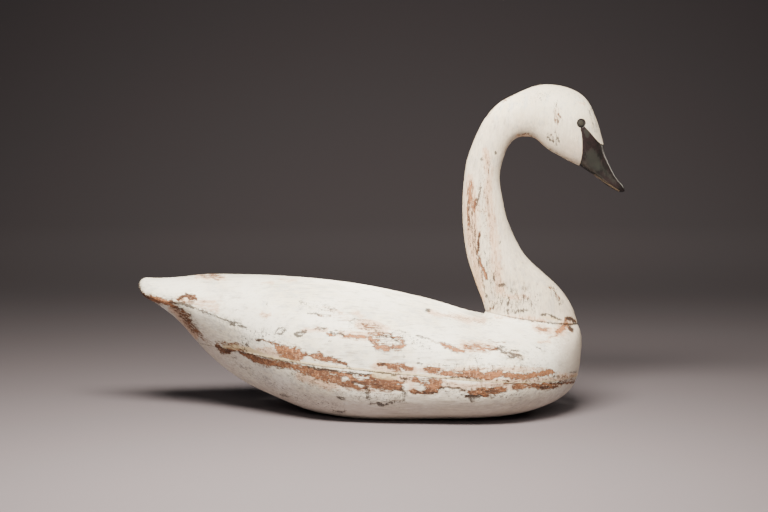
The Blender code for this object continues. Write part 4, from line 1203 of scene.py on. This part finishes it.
@dataclass
class LowerBody(BodyBlock):
    """The lower body block, from the seam down to the flat underside."""

    def ends(self, lines: FairedLines) -> tuple[float, float]:
        """Where along the stations the keel crosses the seam, at the stern and at the breast."""
        fine = np.linspace(0, len(BODY_STATIONS) - 1, 20001)
        rows = lines.at(fine)
        below = np.flatnonzero(rows[:, 3] < seam_height(rows[:, 2]) - 1.2 * MM)
        return fine[below[0]], fine[below[-1]]

    def grid(self) -> np.ndarray:
        """The carved surface, as rings of points."""
        lines = FairedLines(BODY_STATIONS)
        places = lines.evenly(*self.ends(lines), self.rings)
        rows = lines.at(places)
        count = (self.around - self.chord + 1) // 2
        sides = [self.side_angles(row, count) for row in rows]
        grid = self.blocks_grid(rows, sides)
        grid[..., 2] = np.maximum(grid[..., 2], 0.0)
        return grid

    def side_angles(self, row: np.ndarray, count: int) -> np.ndarray:
        """Angles of the points up one side of a section, from its keel to the seam."""
        edge = self.seam_angle(row, seam_height(row[0]) - TOUCH_GAP / 2)
        fine = np.linspace(-math.pi / 2, edge, 700)
        curve = section_point(np.tile(row, (len(fine), 1)), fine)
        curve[:, 2] = np.maximum(curve[:, 2], 0.0)
        pace = np.where(curve[1:, 2] <= 0.0, 0.3, 1.0)
        shares = np.linspace(0, 1, count)
        return spread(curve, fine, shares + 0.12 * shares * (1 - shares), pace)

    def read_wear(self, points: np.ndarray) -> None:
        """Notes the wear and the state of the seam."""
        super().read_wear(points)
        self.mark_seam(points, 1 - smooth(self.seam_distance(points), 0.4 * MM, 1.8 * MM))

    def relief(self, points: np.ndarray) -> np.ndarray:
        """How far each point stands proud of the plain carving."""
        distance = self.seam_distance(points)
        openness, _ = seam_state(points[:, 0])
        lip = 1 - smooth(distance, 0.0, 2.0 * MM)
        height = carving_waves(points, 23) * smooth(distance, 1 * MM, 8 * MM)
        height = height - worn_depth(self.looks) - SEAM_HOLLOW * lip * openness
        return np.where(points[:, 2] < 0.5 * MM, 0.0, height)

    def settle(self, points: np.ndarray) -> np.ndarray:
        """Keeps the points above the floor."""
        return np.maximum(points, (-9, -9, 0.0))


# The black of the face and bill, the line of the mouth and the bill's worn edge, as (x, z)
FACE_PATCH = np.array(
    (
        (338.4, 498.5), (337.8, 493), (340, 486), (341, 477), (342, 462), (342, 449), (340.4, 437), (338.6, 429.5),
        (336, 424), (352, 405), (380, 385), (410, 372), (430, 372), (430, 420), (400, 462), (388, 463.4),
        (381, 464.6), (375, 467), (368, 473), (361, 481), (353, 490), (346, 497), (342.6, 500.6),
    )
) * MM

MOUTH_LINE = np.array(
    (
        (340, 428.7, 1), (347, 424.6, 1), (354, 420.8, 1), (364, 415, 1), (372, 409.5, 1), (383, 400.8, 1),
        (393, 396.3, 1), (399, 392.3, 1), (409, 386.5, 1),
    )
) * MM

WORN_LIP = np.array(((365, 411.5, 1), (377, 404.6, 1), (389, 397.2, 1), (399, 391.0, 1), (407, 386.0, 1))) * MM


@dataclass
class NeckAndHead(CarvedPiece):
    """The neck, head and bill, carved in one piece and sawn flat where it stands on the body."""

    def foot(self) -> np.ndarray:
        """The closed line of the neck's foot on the seat."""
        return self.grid()[0]

    def grid(self) -> np.ndarray:
        """The carved surface, as rings of points, the first of them on the seat."""
        lines = FairedLines(HEAD_STATIONS)
        begin, clear = 1.0, 5.0
        fine = np.linspace(begin, clear, 260)
        low_rings = np.array([self.ring(row) for row in lines.at(fine)])
        above = low_rings[..., 2] - seat_height(low_rings[..., 0]) - TOUCH_GAP
        crossing = np.array([np.interp(0.0, above[:, j], fine) for j in range(self.around)])
        start = crossing.mean()
        places = lines.evenly(start, len(HEAD_STATIONS) - 1, self.rings, self.closer)
        fade = 1 - smooth(places, start, clear - 0.6)
        grid = np.empty((self.rings, self.around, 3))
        for i, row in enumerate(lines.at(places)):
            if fade[i] <= 0:
                grid[i] = self.ring(row)
                continue
            wanted = places[i] + (crossing - start) * fade[i]
            for axis in range(3):
                for j in range(self.around):
                    grid[i, j, axis] = np.interp(wanted[j], fine, low_rings[:, j, axis])
        grid[0, :, 2] = seat_height(grid[0, :, 0]) + TOUCH_GAP
        return grid

    @staticmethod
    def closer(rows: np.ndarray) -> np.ndarray:
        """Rings lie closer together on the bill, whose details are small."""
        return 1 + 0.9 * smooth(rows[:, 2], 0.31, 0.345)

    def ring(self, row: np.ndarray) -> np.ndarray:
        """One section, its points at even distances."""
        fine = np.linspace(-math.pi, math.pi, 721)
        curve = section_point(np.tile(row, (len(fine), 1)), fine)
        angles = spread(curve, fine, np.arange(self.around) / self.around)
        return section_point(np.tile(row, (len(angles), 1)), angles)

    def read_wear(self, points: np.ndarray) -> None:
        """Notes the wear, the black of the face and bill, and the mouth line."""
        super().read_wear(points)
        flat = points[:, (0, 2)]
        inside = side_of_line(flat, FACE_PATCH)
        inside = np.where(points[:, 0] > 0.31, inside, -1.0)
        self.looks["black"] = np.clip(0.5 + inside / (4 * MM), 0.0, 1.0)
        mouth, _ = along_line(flat, MOUTH_LINE)
        self.looks["mouth"] = 1 - np.clip(mouth / (3 * MM), 0.0, 1.0)
        worn, _ = along_line(flat, WORN_LIP)
        self.looks["tan"] = 1 - np.clip(worn / (4 * MM), 0.0, 1.0)
        eye = np.hypot(points[:, 0] - EYE_X, points[:, 2] - EYE_Z)
        self.looks["socket"] = 1 - np.clip((eye - SOCKET_RADIUS) / (2.0 * MM), 0.0, 1.0)
        above = points[:, 2] - seat_height(points[:, 0])
        lip = (1 - smooth(above, 0.3 * MM, 1.5 * MM)) * beside_neck(points[:, 0])
        self.looks["dark"] = np.maximum(self.looks["dark"], 0.65 * lip)

    def dirt_and_shade(self, points: np.ndarray) -> np.ndarray:
        """How much brown grey the paint takes at each point, as painted shade and dirt: in the crook, under the
        jaw, above the seat and down the neck.
        """
        crook = 1 - smooth(np.hypot(points[:, 0] - 0.245, points[:, 2] - 0.445), 0.03, 0.062)
        jaw = smooth(points[:, 0], 0.27, 0.33) * (1 - smooth(points[:, 2] + 0.6 * points[:, 0], 0.652, 0.70))
        foot = 1 - smooth(points[:, 2] - seat_height(points[:, 0]), 0.0, 0.06)
        side = 0.50 * (1 - smooth(points[:, 2], 0.49, 0.545))
        return np.maximum(np.maximum(0.9 * crook, 0.95 * jaw), np.maximum(0.5 * foot, side))

    def relief(self, points: np.ndarray) -> np.ndarray:
        """How far each point stands proud of the plain carving."""
        flat = points[:, (0, 2)]
        height = carving_waves(points[:, (2, 1, 0)], 37) - worn_depth(self.looks)
        height -= 0.55 * MM * smooth(self.looks["black"], 0.3, 0.7)
        rim = np.clip(1 - np.abs(self.looks["black"] - 0.28) / 0.2, 0.0, 1.0)
        height += 0.32 * MM * rim
        mouth, _ = along_line(flat, MOUTH_LINE)
        height -= 0.8 * MM * (1 - smooth(mouth, 0.2 * MM, 1.3 * MM))
        eye = np.hypot(points[:, 0] - EYE_X, points[:, 2] - EYE_Z)
        height -= SOCKET_DEPTH * (1 - smooth(eye, SOCKET_RADIUS - 0.2 * MM, SOCKET_RADIUS + 0.9 * MM))
        above = points[:, 2] - seat_height(points[:, 0])
        height *= smooth(above, 0.2 * MM, 3 * MM)
        flare = 1.6 * MM * (1 - smooth(above, 0.0, 14 * MM)) * smooth(points[:, 0], 0.28, 0.33)
        return height + flare - 0.5 * MM * (1 - smooth(above, 0.0, 1.6 * MM))

    def settle(self, points: np.ndarray) -> np.ndarray:
        """Keeps the foot on the seat."""
        seat = seat_height(points[:, 0]) + TOUCH_GAP
        low = points[:, 2] < seat
        points[low, 2] = seat[low]
        return points


@dataclass
class EyeTack:
    """A domed tack head, set in its socket.

    Args:
        node: the frame's node that it stands for.
        segments: how many sides its round has.
        steps: how many insets shape its dome.
    """

    node: str
    segments: int = 48
    steps: int = 9

    def turn(self) -> bpy.types.Object:
        """Makes the tack where the node lies."""
        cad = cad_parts[self.node]
        outward = self.outward(cad)
        low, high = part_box(self.node)
        bpy.ops.object.select_all(action="DESELECT")
        bpy.ops.mesh.primitive_circle_add(vertices=self.segments, radius=TACK_RADIUS, fill_type="NGON")
        tack = bpy.context.object
        tack.name = tack.data.name = "turned_" + self.node
        bpy.ops.object.mode_set(mode="EDIT")
        bpy.ops.mesh.select_mode(type="FACE")
        bpy.ops.mesh.select_all(action="SELECT")
        bpy.ops.mesh.extrude_region_move(TRANSFORM_OT_translate={"value": (0, 0, TACK_RIM)})
        for i in range(self.steps):
            start, end = (math.pi / 2 * k / (self.steps + 0.4) for k in (i, i + 1))
            inward = TACK_RADIUS * (math.cos(start) - math.cos(end))
            rise = TACK_CROWN * (math.sin(end) ** 0.6 - math.sin(start) ** 0.6)
            bpy.ops.mesh.inset(thickness=inward, depth=0.0, use_even_offset=False)
            bpy.ops.transform.translate(value=(0, 0, rise))
        bpy.ops.mesh.select_all(action="SELECT")
        bpy.ops.mesh.normals_make_consistent(inside=False)
        bpy.ops.object.mode_set(mode="OBJECT")
        centre = (low + high) / 2
        height = TACK_RIM + TACK_CROWN
        tack.rotation_mode = "QUATERNION"
        tack.rotation_quaternion = outward.to_track_quat("Z", "Y")
        tack.location = centre - outward * (height / 2)
        bpy.ops.object.transform_apply(location=True, rotation=True, scale=True)
        bpy.ops.object.shade_smooth_by_angle(angle=math.radians(40))
        return tack

    @staticmethod
    def outward(cad: bpy.types.Object) -> Vector:
        """Direction that the tack faces, square to the flat back of the frame's own tack."""
        cad.data.calc_loop_triangles()
        back = max(cad.data.loop_triangles, key=lambda triangle: triangle.area)
        return -back.normal.normalized()

    def dress(self, tack: bpy.types.Object, iron: bpy.types.Material) -> None:
        """Gives the tack its finish and its place in the frame."""
        tack.data.materials.clear()
        tack.data.materials.append(iron)
        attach(tack, BODY)
        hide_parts(self.node)
        LOG.info("%s: %d faces", tack.name, len(tack.data.polygons))


# Shader maths

class Socket:
    """A shader socket that can be written with in plain arithmetic."""

    def __init__(self, bench: "Bench", link: bpy.types.NodeSocket) -> None:
        """Wraps a socket.

        Args:
            bench: the material that it belongs to.
            link: the socket.
        """
        self.bench, self.link = bench, link

    def sum_up(self, operation: str, *values: Any) -> "Socket":
        """A Math node on numbers and sockets."""
        return self.bench.node("ShaderNodeMath", {"operation": operation}, dict(enumerate(values)))

    def __add__(self, other: Any) -> "Socket":
        """Sum."""
        return self.sum_up("ADD", self, other)

    def __sub__(self, other: Any) -> "Socket":
        """Difference."""
        return self.sum_up("SUBTRACT", self, other)

    def __rsub__(self, other: Any) -> "Socket":
        """Difference from a number."""
        return self.sum_up("SUBTRACT", other, self)

    def __mul__(self, other: Any) -> "Socket":
        """Product."""
        return self.sum_up("MULTIPLY", self, other)

    __radd__, __rmul__ = __add__, __mul__

    def most(self, other: Any) -> "Socket":
        """The larger of two."""
        return self.sum_up("MAXIMUM", self, other)

    def step(self, low: float, high: float) -> "Socket":
        """A soft step from 0 at low to 1 at high, or down where low is the larger."""
        turned = low > high
        ends = {1: min(low, high), 2: max(low, high), 3: 1.0 if turned else 0.0, 4: 0.0 if turned else 1.0}
        settings = {"interpolation_type": "SMOOTHSTEP"}
        return self.bench.node("ShaderNodeMapRange", settings, {0: self, **ends})


Colour = tuple[float, float, float]


class Bench:
    """A material under construction."""

    def __init__(self, name: str) -> None:
        """Starts a material.

        Args:
            name: the material's name.
        """
        self.material = bpy.data.materials.new(name)
        self.material.use_nodes = True
        self.tree = self.material.node_tree
        self.tree.nodes.clear()

    def node(self, kind: str, settings: dict[str, Any], inputs: dict[Any, Any], output: Any = 0) -> Socket:
        """Adds a node.

        Args:
            kind: its type.
            settings: its properties, set first.
            inputs: values or links of its sockets, by name or number.
            output: which socket to return.

        Returns:
            That socket.
        """
        made = self.tree.nodes.new(kind)
        for name, value in settings.items():
            setattr(made, name, value)
        for key, value in inputs.items():
            socket = made.inputs[key]
            if isinstance(value, Socket):
                self.tree.links.new(value.link, socket)
            elif isinstance(value, tuple) and len(value) == 3 and len(socket.default_value) == 4:
                socket.default_value = (*value, 1.0)
            else:
                socket.default_value = value
        return Socket(self, made.outputs[output])

    def look(self, name: str) -> Socket:
        """A wear attribute of the piece."""
        return self.node("ShaderNodeAttribute", {"attribute_name": name}, {}, "Fac")

    def place(self, scale: Colour = (1, 1, 1), turn: Colour = (0, 0, 0)) -> Socket:
        """Object coordinates, stretched along the grain."""
        here = self.node("ShaderNodeTexCoord", {}, {}, "Object")
        return self.node("ShaderNodeMapping", {}, {"Vector": here, "Scale": scale, "Rotation": turn})

    def noise(self, place: Socket, scale: float, detail: float = 4.0, roughness: float = 0.6) -> Socket:
        """Noise from 0 to 1 round a half."""
        sockets = {"Vector": place, "Scale": scale, "Detail": detail, "Roughness": roughness}
        return self.node("ShaderNodeTexNoise", {}, sockets)

    def blend(self, share: Any, first: Any, second: Any) -> Socket:
        """Two colours mixed."""
        sockets = {"Factor": share, "A": first, "B": second}
        made = self.tree.nodes.new("ShaderNodeMix")
        made.data_type = "RGBA"
        for name, value in sockets.items():
            socket = next(s for s in made.inputs if s.name == name and s.enabled)
            if isinstance(value, Socket):
                self.tree.links.new(value.link, socket)
            else:
                socket.default_value = value if name == "Factor" else (*value, 1.0)
        return Socket(self, next(s for s in made.outputs if s.enabled))

    def finish(self, colour: Socket, roughness: Any, height: Socket | None, depth: float = 0.001,
               **constants: float) -> bpy.types.Material:
        """Ends the material.

        Args:
            colour: its base colour.
            roughness: its roughness.
            height: its fine relief, 0 to 1, or None.
            depth: what a height of 1 stands for.
            constants: values for other sockets of the shader.

        Returns:
            The finished material.
        """
        inputs = {"Base Color": colour, "Roughness": roughness, **constants}
        if height is not None:
            inputs["Normal"] = self.node(
                "ShaderNodeBump", {}, {"Height": height, "Distance": depth, "Strength": 1.0}, "Normal"
            )
        shader = self.node("ShaderNodeBsdfPrincipled", {}, inputs)
        output = self.tree.nodes.new("ShaderNodeOutputMaterial")
        self.tree.links.new(shader.link, output.inputs["Surface"])
        return self.material


class Grain(Enum):
    """Which way a block's grain runs, as the coordinate that it follows."""

    LENGTHWISE = 0
    UPRIGHT = 2

    def stretch(self, share: float) -> Colour:
        """The scale of a pattern that is drawn out along the grain."""
        return tuple(share if axis == self.value else 1.0 for axis in range(3))


@dataclass(frozen=True)
class AgedWhitePaint:
    """Old white paint over reddish wood, with the black of the bill where a piece has it.

    Args:
        name: the material's name.
        grain: which way the wood's grain runs.
        sound: colour of sound paint.
        cream: its yellower patches.
        has_bill: whether the piece has the black of the face and bill.
        dirt_and_shade: the brown grey of dirt and of painted shade, put low down, under overhangs and in hollows.
        dull: its greyer, rubbed patches.
        peach: the tint of paint so thin that the wood shows through.
        stained: the tint of the paint round a bare place.
        brown, orange, bark: dark, light and darkest tones of the bare wood.
        filler: old filler along the joints.
        dirt: cracks and specks.
        black, brown_black: the bill's paint.
        rubbed_black, tan, crack: rubbed places on it, its worn edge and the mouth.
    """

    name: str
    grain: Grain
    sound: Colour = (0.90, 0.865, 0.785)
    cream: Colour = (0.80, 0.73, 0.59)
    has_bill: bool = False
    dirt_and_shade: Colour = (0.50, 0.40, 0.33)
    dull: Colour = (0.58, 0.59, 0.575)
    peach: Colour = (0.64, 0.37, 0.22)
    stained: Colour = (0.27, 0.19, 0.135)
    brown: Colour = (0.135, 0.062, 0.038)
    orange: Colour = (0.365, 0.160, 0.078)
    bark: Colour = (0.050, 0.028, 0.020)
    filler: Colour = (0.66, 0.53, 0.33)
    dirt: Colour = (0.038, 0.026, 0.022)
    black: Colour = (0.013, 0.012, 0.012)
    brown_black: Colour = (0.022, 0.015, 0.016)
    rubbed_black: Colour = (0.034, 0.038, 0.033)
    tan: Colour = (0.22, 0.16, 0.11)
    crack: Colour = (0.010, 0.009, 0.009)

    def make(self) -> bpy.types.Material:
        """Makes the material."""
        bench = Bench(self.name)
        here = bench.place()
        flecks = bench.noise(bench.place(self.grain.stretch(0.42)), 340.0, 4.0, 0.66) - 0.5
        streaks = bench.noise(bench.place(self.grain.stretch(0.12)), 300.0, 4.0, 0.62) - 0.5
        ticks = bench.noise(bench.place(Grain.UPRIGHT.stretch(0.26)), 290.0, 3.0, 0.6) - 0.5
        blotches = bench.noise(bench.place(self.grain.stretch(0.55)), 80.0, 4.0, 0.6) - 0.5
        specks = bench.noise(here, 950.0, 2.0, 0.7) - 0.5
        clouds = bench.noise(here, 12.0, 4.0, 0.6) - 0.5
        ragged = flecks * 2.2 + streaks * 2.0 + specks * 0.9 + ticks * 0.6

        shown = (bench.look("bare") * 1.8).most(bench.look("thin") * 0.80) - 0.70
        exposure = shown + ragged + clouds * 0.6
        crumbs = (bench.noise(bench.place(self.grain.stretch(0.5)), 520.0, 2.0, 0.6) - 0.5).step(0.13, 0.20)
        bare = exposure.step(0.36, 0.50) * (1 - crumbs * exposure.step(1.6, 0.6) * 0.75)
        edge = exposure.step(-0.15, 0.42) * (1 - bare)
        rim = exposure.step(0.32, 0.44) * exposure.step(0.80, 0.50)
        thin = (bench.look("thin") * 1.25 + ragged * 0.6 + clouds * 0.9).step(0.30, 0.95)
        dark = (bench.look("dark") * 1.75 + specks * 2.4 + ticks * 1.2 + flecks * 2.0).step(0.76, 0.96)
        filled = (bench.look("filled") * 1.2 + blotches * 1.1 + specks * 0.5).step(0.42, 0.74)
        combed = (ticks + specks * 0.3 + clouds * 0.2).step(0.03, 0.16) * bench.look("combed") * 0.72
        hairs = (bench.noise(bench.place(self.grain.stretch(0.10)), 300.0, 3.0, 0.65) - 0.5).step(0.05, 0.17)
        scuffs = hairs * (clouds + blotches * 0.8).step(-0.10, 0.14)
        pits = (specks + flecks * 0.4).step(0.15, 0.24) * (clouds + blotches).step(-0.10, 0.15)

        paint = bench.blend((clouds + streaks * 0.4).step(-0.12, 0.18), self.sound, self.cream)
        paint = bench.blend((blotches + clouds * 0.8 + streaks * 0.5).step(-0.02, 0.22) * 0.62, paint, self.dull)
        paint = bench.blend(specks.step(0.02, 0.22) * 0.42 + flecks.step(0.02, 0.22) * 0.50, paint, self.dull)
        # Brown grey over the paint: dirt, and painted shade near the floor, under the stern and jaw, in the crook
        # and on the breast
        dirt_and_shade = bench.look("dirt_and_shade") + blotches * 0.7 + streaks * 0.9 + flecks * 0.6
        paint = bench.blend(dirt_and_shade.step(0.05, 0.95) * 0.66, paint, self.dirt_and_shade)
        paint = bench.blend(thin * 0.62, paint, self.peach)
        paint = bench.blend(edge * 0.62, paint, self.stained)
        paint = bench.blend(scuffs * 0.50 + pits * 0.46, paint, self.stained)
        paint = bench.blend(combed, paint, self.dirt)

        tone = bench.look("warm") + blotches * 2.0 + streaks * 2.6 + specks * 0.7
        wood = bench.blend(tone.step(0.12, 0.88), self.brown, self.orange)
        wood = bench.blend((streaks + specks * 0.4 + flecks * 0.6).step(0.06, 0.22) * 0.70, wood, self.bark)
        wood = bench.blend((ticks * 0.8 + specks * 0.8 - flecks * 0.5).step(0.05, 0.20) * 0.62, wood, self.peach)
        wood = bench.blend(rim * 0.55, wood, self.bark)

        colour = bench.blend(bare, paint, wood)
        colour = bench.blend(filled * (1 - bare * 0.5) * 0.85, colour, self.filler)
        colour = bench.blend(dark * 0.86, colour, self.dirt)
        roughness = 0.46 + bare * 0.26 + thin * 0.08 + clouds * 0.2
        height = (1 - bare) * 0.32 + streaks * bare * 0.5 + specks * 0.16 + blotches * 0.14 - dark * 0.40
        if self.has_bill:
            black = (bench.look("black") + specks * 0.03).step(0.49, 0.51)
            black = black.most(bench.look("socket").step(0.30, 0.42))
            patches = (clouds + blotches * 0.6 + flecks * 0.6).step(-0.12, 0.12)
            ink = bench.blend(patches, self.black, self.brown_black)
            rubbed = (bench.look("rubbed") * 1.3 + blotches * 1.2 + flecks * 1.1 + specks * 0.8).step(0.30, 0.95)
            ink = bench.blend(rubbed * 0.5, ink, self.rubbed_black)
            worn = (bench.look("tan") * 1.4 + specks * 1.0 + streaks * 0.8).step(0.55, 0.95)
            ink = bench.blend(worn * 0.75, ink, self.tan)
            mouth = (bench.look("mouth") + specks * 0.5).step(0.55, 0.80)
            ink = bench.blend(mouth * 0.8, ink, self.crack)
            colour = bench.blend(black, colour, ink)
            roughness = roughness * (1 - black) + black * (0.24 + rubbed * 0.2 + specks * 0.3)
        return bench.finish(colour, roughness, height, 0.0009, **{"Specular IOR Level": 0.2})


@dataclass(frozen=True)
class BlackedIron:
    """Dark tack iron, painted over once and rubbed on its crown.

    Args:
        name: the material's name.
        centre: the tack's centre.
        iron: its dark rim.
        rubbed: its rubbed crown.
    """

    name: str
    centre: Vector
    iron: Colour = (0.010, 0.009, 0.008)
    rubbed: Colour = (0.026, 0.022, 0.016)

    def make(self) -> bpy.types.Material:
        """Makes the material."""
        bench = Bench(self.name)
        here = bench.node("ShaderNodeTexCoord", {}, {}, "Object")
        ends = {0: here, 1: tuple(self.centre)}
        off = bench.node("ShaderNodeVectorMath", {"operation": "DISTANCE"}, ends, "Value")
        specks = bench.noise(bench.place(), 1100.0, 3.0, 0.65)
        crown = (off * (1 / TACK_RADIUS) + (specks - 0.5) * 1.5).step(0.80, 0.50)
        colour = bench.blend(crown * 0.9, self.iron, self.rubbed)
        return bench.finish(colour, 0.50 + specks * 0.3, specks, 0.0004, **{"Specular IOR Level": 0.3})


@dataclass(frozen=True)
class PaleFloor:
    """Plain pale studio paper.

    Args:
        name: the material's name.
        colour: the paper's colour.
    """

    name: str = "pale_paper"
    colour: Colour = (0.140, 0.122, 0.139)

    def make(self) -> bpy.types.Material:
        """Makes the material."""
        bench = Bench(self.name)
        fibres = bench.noise(bench.place(), 40.0, 2.0)
        colour = bench.blend(fibres * 0.06, self.colour, tuple(0.92 * c for c in self.colour))
        return bench.finish(colour, 0.85, None)


# Studio

@dataclass(frozen=True)
class SoftBox:
    """A soft rectangular light.

    Args:
        name: what it does.
        place: where it stands.
        aim: where it points.
        size: its width and height.
        power: in watts.
        colour: its tint.
        spread: how widely it shines, in degrees; a grid in front of it makes this small.
    """

    name: str
    place: tuple[float, float, float]
    aim: tuple[float, float, float]
    size: tuple[float, float]
    power: float
    colour: Colour = (1.0, 0.93, 0.79)
    spread: float = 180.0

    def light(self) -> None:
        """Sets the light up."""
        data = bpy.data.lights.new(self.name, "AREA")
        data.shape = "RECTANGLE"
        data.size, data.size_y = self.size
        data.energy = self.power
        data.color = self.colour
        data.spread = math.radians(self.spread)
        lamp = bpy.data.objects.new(self.name, data)
        lamp.location = self.place
        way = Vector(self.aim) - Vector(self.place)
        lamp.rotation_euler = way.to_track_quat("-Z", "Y").to_euler()
        bpy.context.scene.collection.objects.link(lamp)


@dataclass(frozen=True)
class Studio:
    """The plain pale paper sweep, its light and the camera.

    Args:
        half_width: half the paper's width, and how far it runs on towards the camera.
        sweep_start: how far behind the decoy the paper begins to rise.
        sweep_radius: radius of its rise to upright.
        steps: how many strips the rise has.
        dimness: strength of the light from all round.
        boxes: the soft lights.
    """

    half_width: float = 60.0
    sweep_start: float = 3.0
    sweep_radius: float = 3.0
    steps: int = 48
    dimness: float = 0.045
    boxes: tuple[SoftBox, ...] = (
        SoftBox("key", (-0.10, -0.95, 1.34), (-0.05, -0.42, 0.05), (1.0, 0.36), 61.0, spread=130.0),
        SoftBox("right", (1.0, -1.2, 1.5), (0.0, 0.0, 0.2), (1.0, 0.9), 9.0),
        SoftBox("front", (-0.2, -1.8, 0.9), (0.0, 0.0, 0.2), (0.6, 0.5), 7.0),
        SoftBox("background", (0.1, 1.7, 2.2), (0.1, 4.2, 0.3), (1.8, 0.4), 18.0, spread=120.0),
        SoftBox("rim", (1.3, 0.6, 0.8), (0.35, 0.0, 0.45), (0.4, 0.6), 0.5, spread=45.0),
        SoftBox("top", (0.05, 0.02, 1.15), (0.05, 0.02, 0.0), (0.36, 0.05), 0.6, spread=15.0),
        SoftBox("near floor", (0.0, -1.9, 1.3), (0.0, -1.95, 0.0), (2.0, 0.3), 16.0, spread=80.0),
    )

    def lay_floor(self) -> bpy.types.Object:
        """Lays the paper: flat under the decoy, and curved up to upright well behind it.

        Returns:
            The paper.
        """
        bpy.ops.object.select_all(action="DESELECT")
        bpy.ops.mesh.primitive_grid_add(x_subdivisions=1, y_subdivisions=self.steps + 2, size=2.0)
        floor = bpy.context.object
        floor.name = "studio_floor"
        for point in floor.data.vertices:
            strip = round((point.co.y + 1) / 2 * (self.steps + 2))
            turn = math.radians(90) * min(max(strip - 1, 0) / self.steps, 1.0)
            behind = self.sweep_start + self.sweep_radius * math.sin(turn)
            height = self.sweep_radius * (1 - math.cos(turn))
            if strip == 0:
                behind = -self.half_width
            if strip == self.steps + 2:
                height += self.sweep_radius
            point.co = (point.co.x * self.half_width, behind, height)
        bpy.ops.object.shade_smooth()
        return floor

    def build(self) -> None:
        """Sets up the floor, the lights and the camera."""
        floor = self.lay_floor()
        floor.data.materials.append(PaleFloor().make())
        for box in self.boxes:
            box.light()
        world = bpy.data.worlds.new("studio")
        world.use_nodes = True
        backing = world.node_tree.nodes["Background"]
        backing.inputs["Color"].default_value = (0.98, 0.98, 1.0, 1.0)
        backing.inputs["Strength"].default_value = self.dimness
        bpy.context.scene.world = world
        VIEW.set_camera()


def main() -> None:
    """Builds the decoy in its studio."""
    logging.basicConfig(level=logging.INFO, format="%(name)s: %(message)s")
    Studio().build()
    body_paint = AgedWhitePaint("aged_white_paint", Grain.LENGTHWISE).make()
    head_paint = AgedWhitePaint(
        "aged_white_and_black_paint", Grain.UPRIGHT, (0.815, 0.73, 0.60), (0.72, 0.62, 0.465), has_bill=True
    ).make()

    head = NeckAndHead("neck_and_head", rings=470, around=204, marks=NECK_WEAR, other_side=(-6.0, 9.0))
    stern_marks = TAIL_MARKS + STERN_MARKS + SIDE_COMBED_MARKS
    side_marks = stern_marks + MIDSHIPS_MARKS + FORE_MARKS + UPPER_SEAM_MARKS + SIDE_SPECKS
    low_marks = stern_marks + LOWER_SEAM_MARKS + LOW_SPECKS
    shift = (13.0, 0.0)
    upper = UpperBody(
        "upper_body", rings=372, around=262, marks=side_marks + NECK_BASE_MARKS, other_side=shift, foot=head.foot()
    )
    lower = LowerBody("lower_body", rings=340, around=280, marks=low_marks, other_side=shift)
    for piece, paint in ((upper, body_paint), (lower, body_paint), (head, head_paint)):
        piece.dress(piece.carve(), paint)

    for which in ("left", "right"):
        tack = EyeTack(which + "_eye_tack")
        low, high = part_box(tack.node)
        tack.dress(tack.turn(), BlackedIron("blacked_iron_" + which, (low + high) / 2).make())


if __name__ == "__main__":
    main()
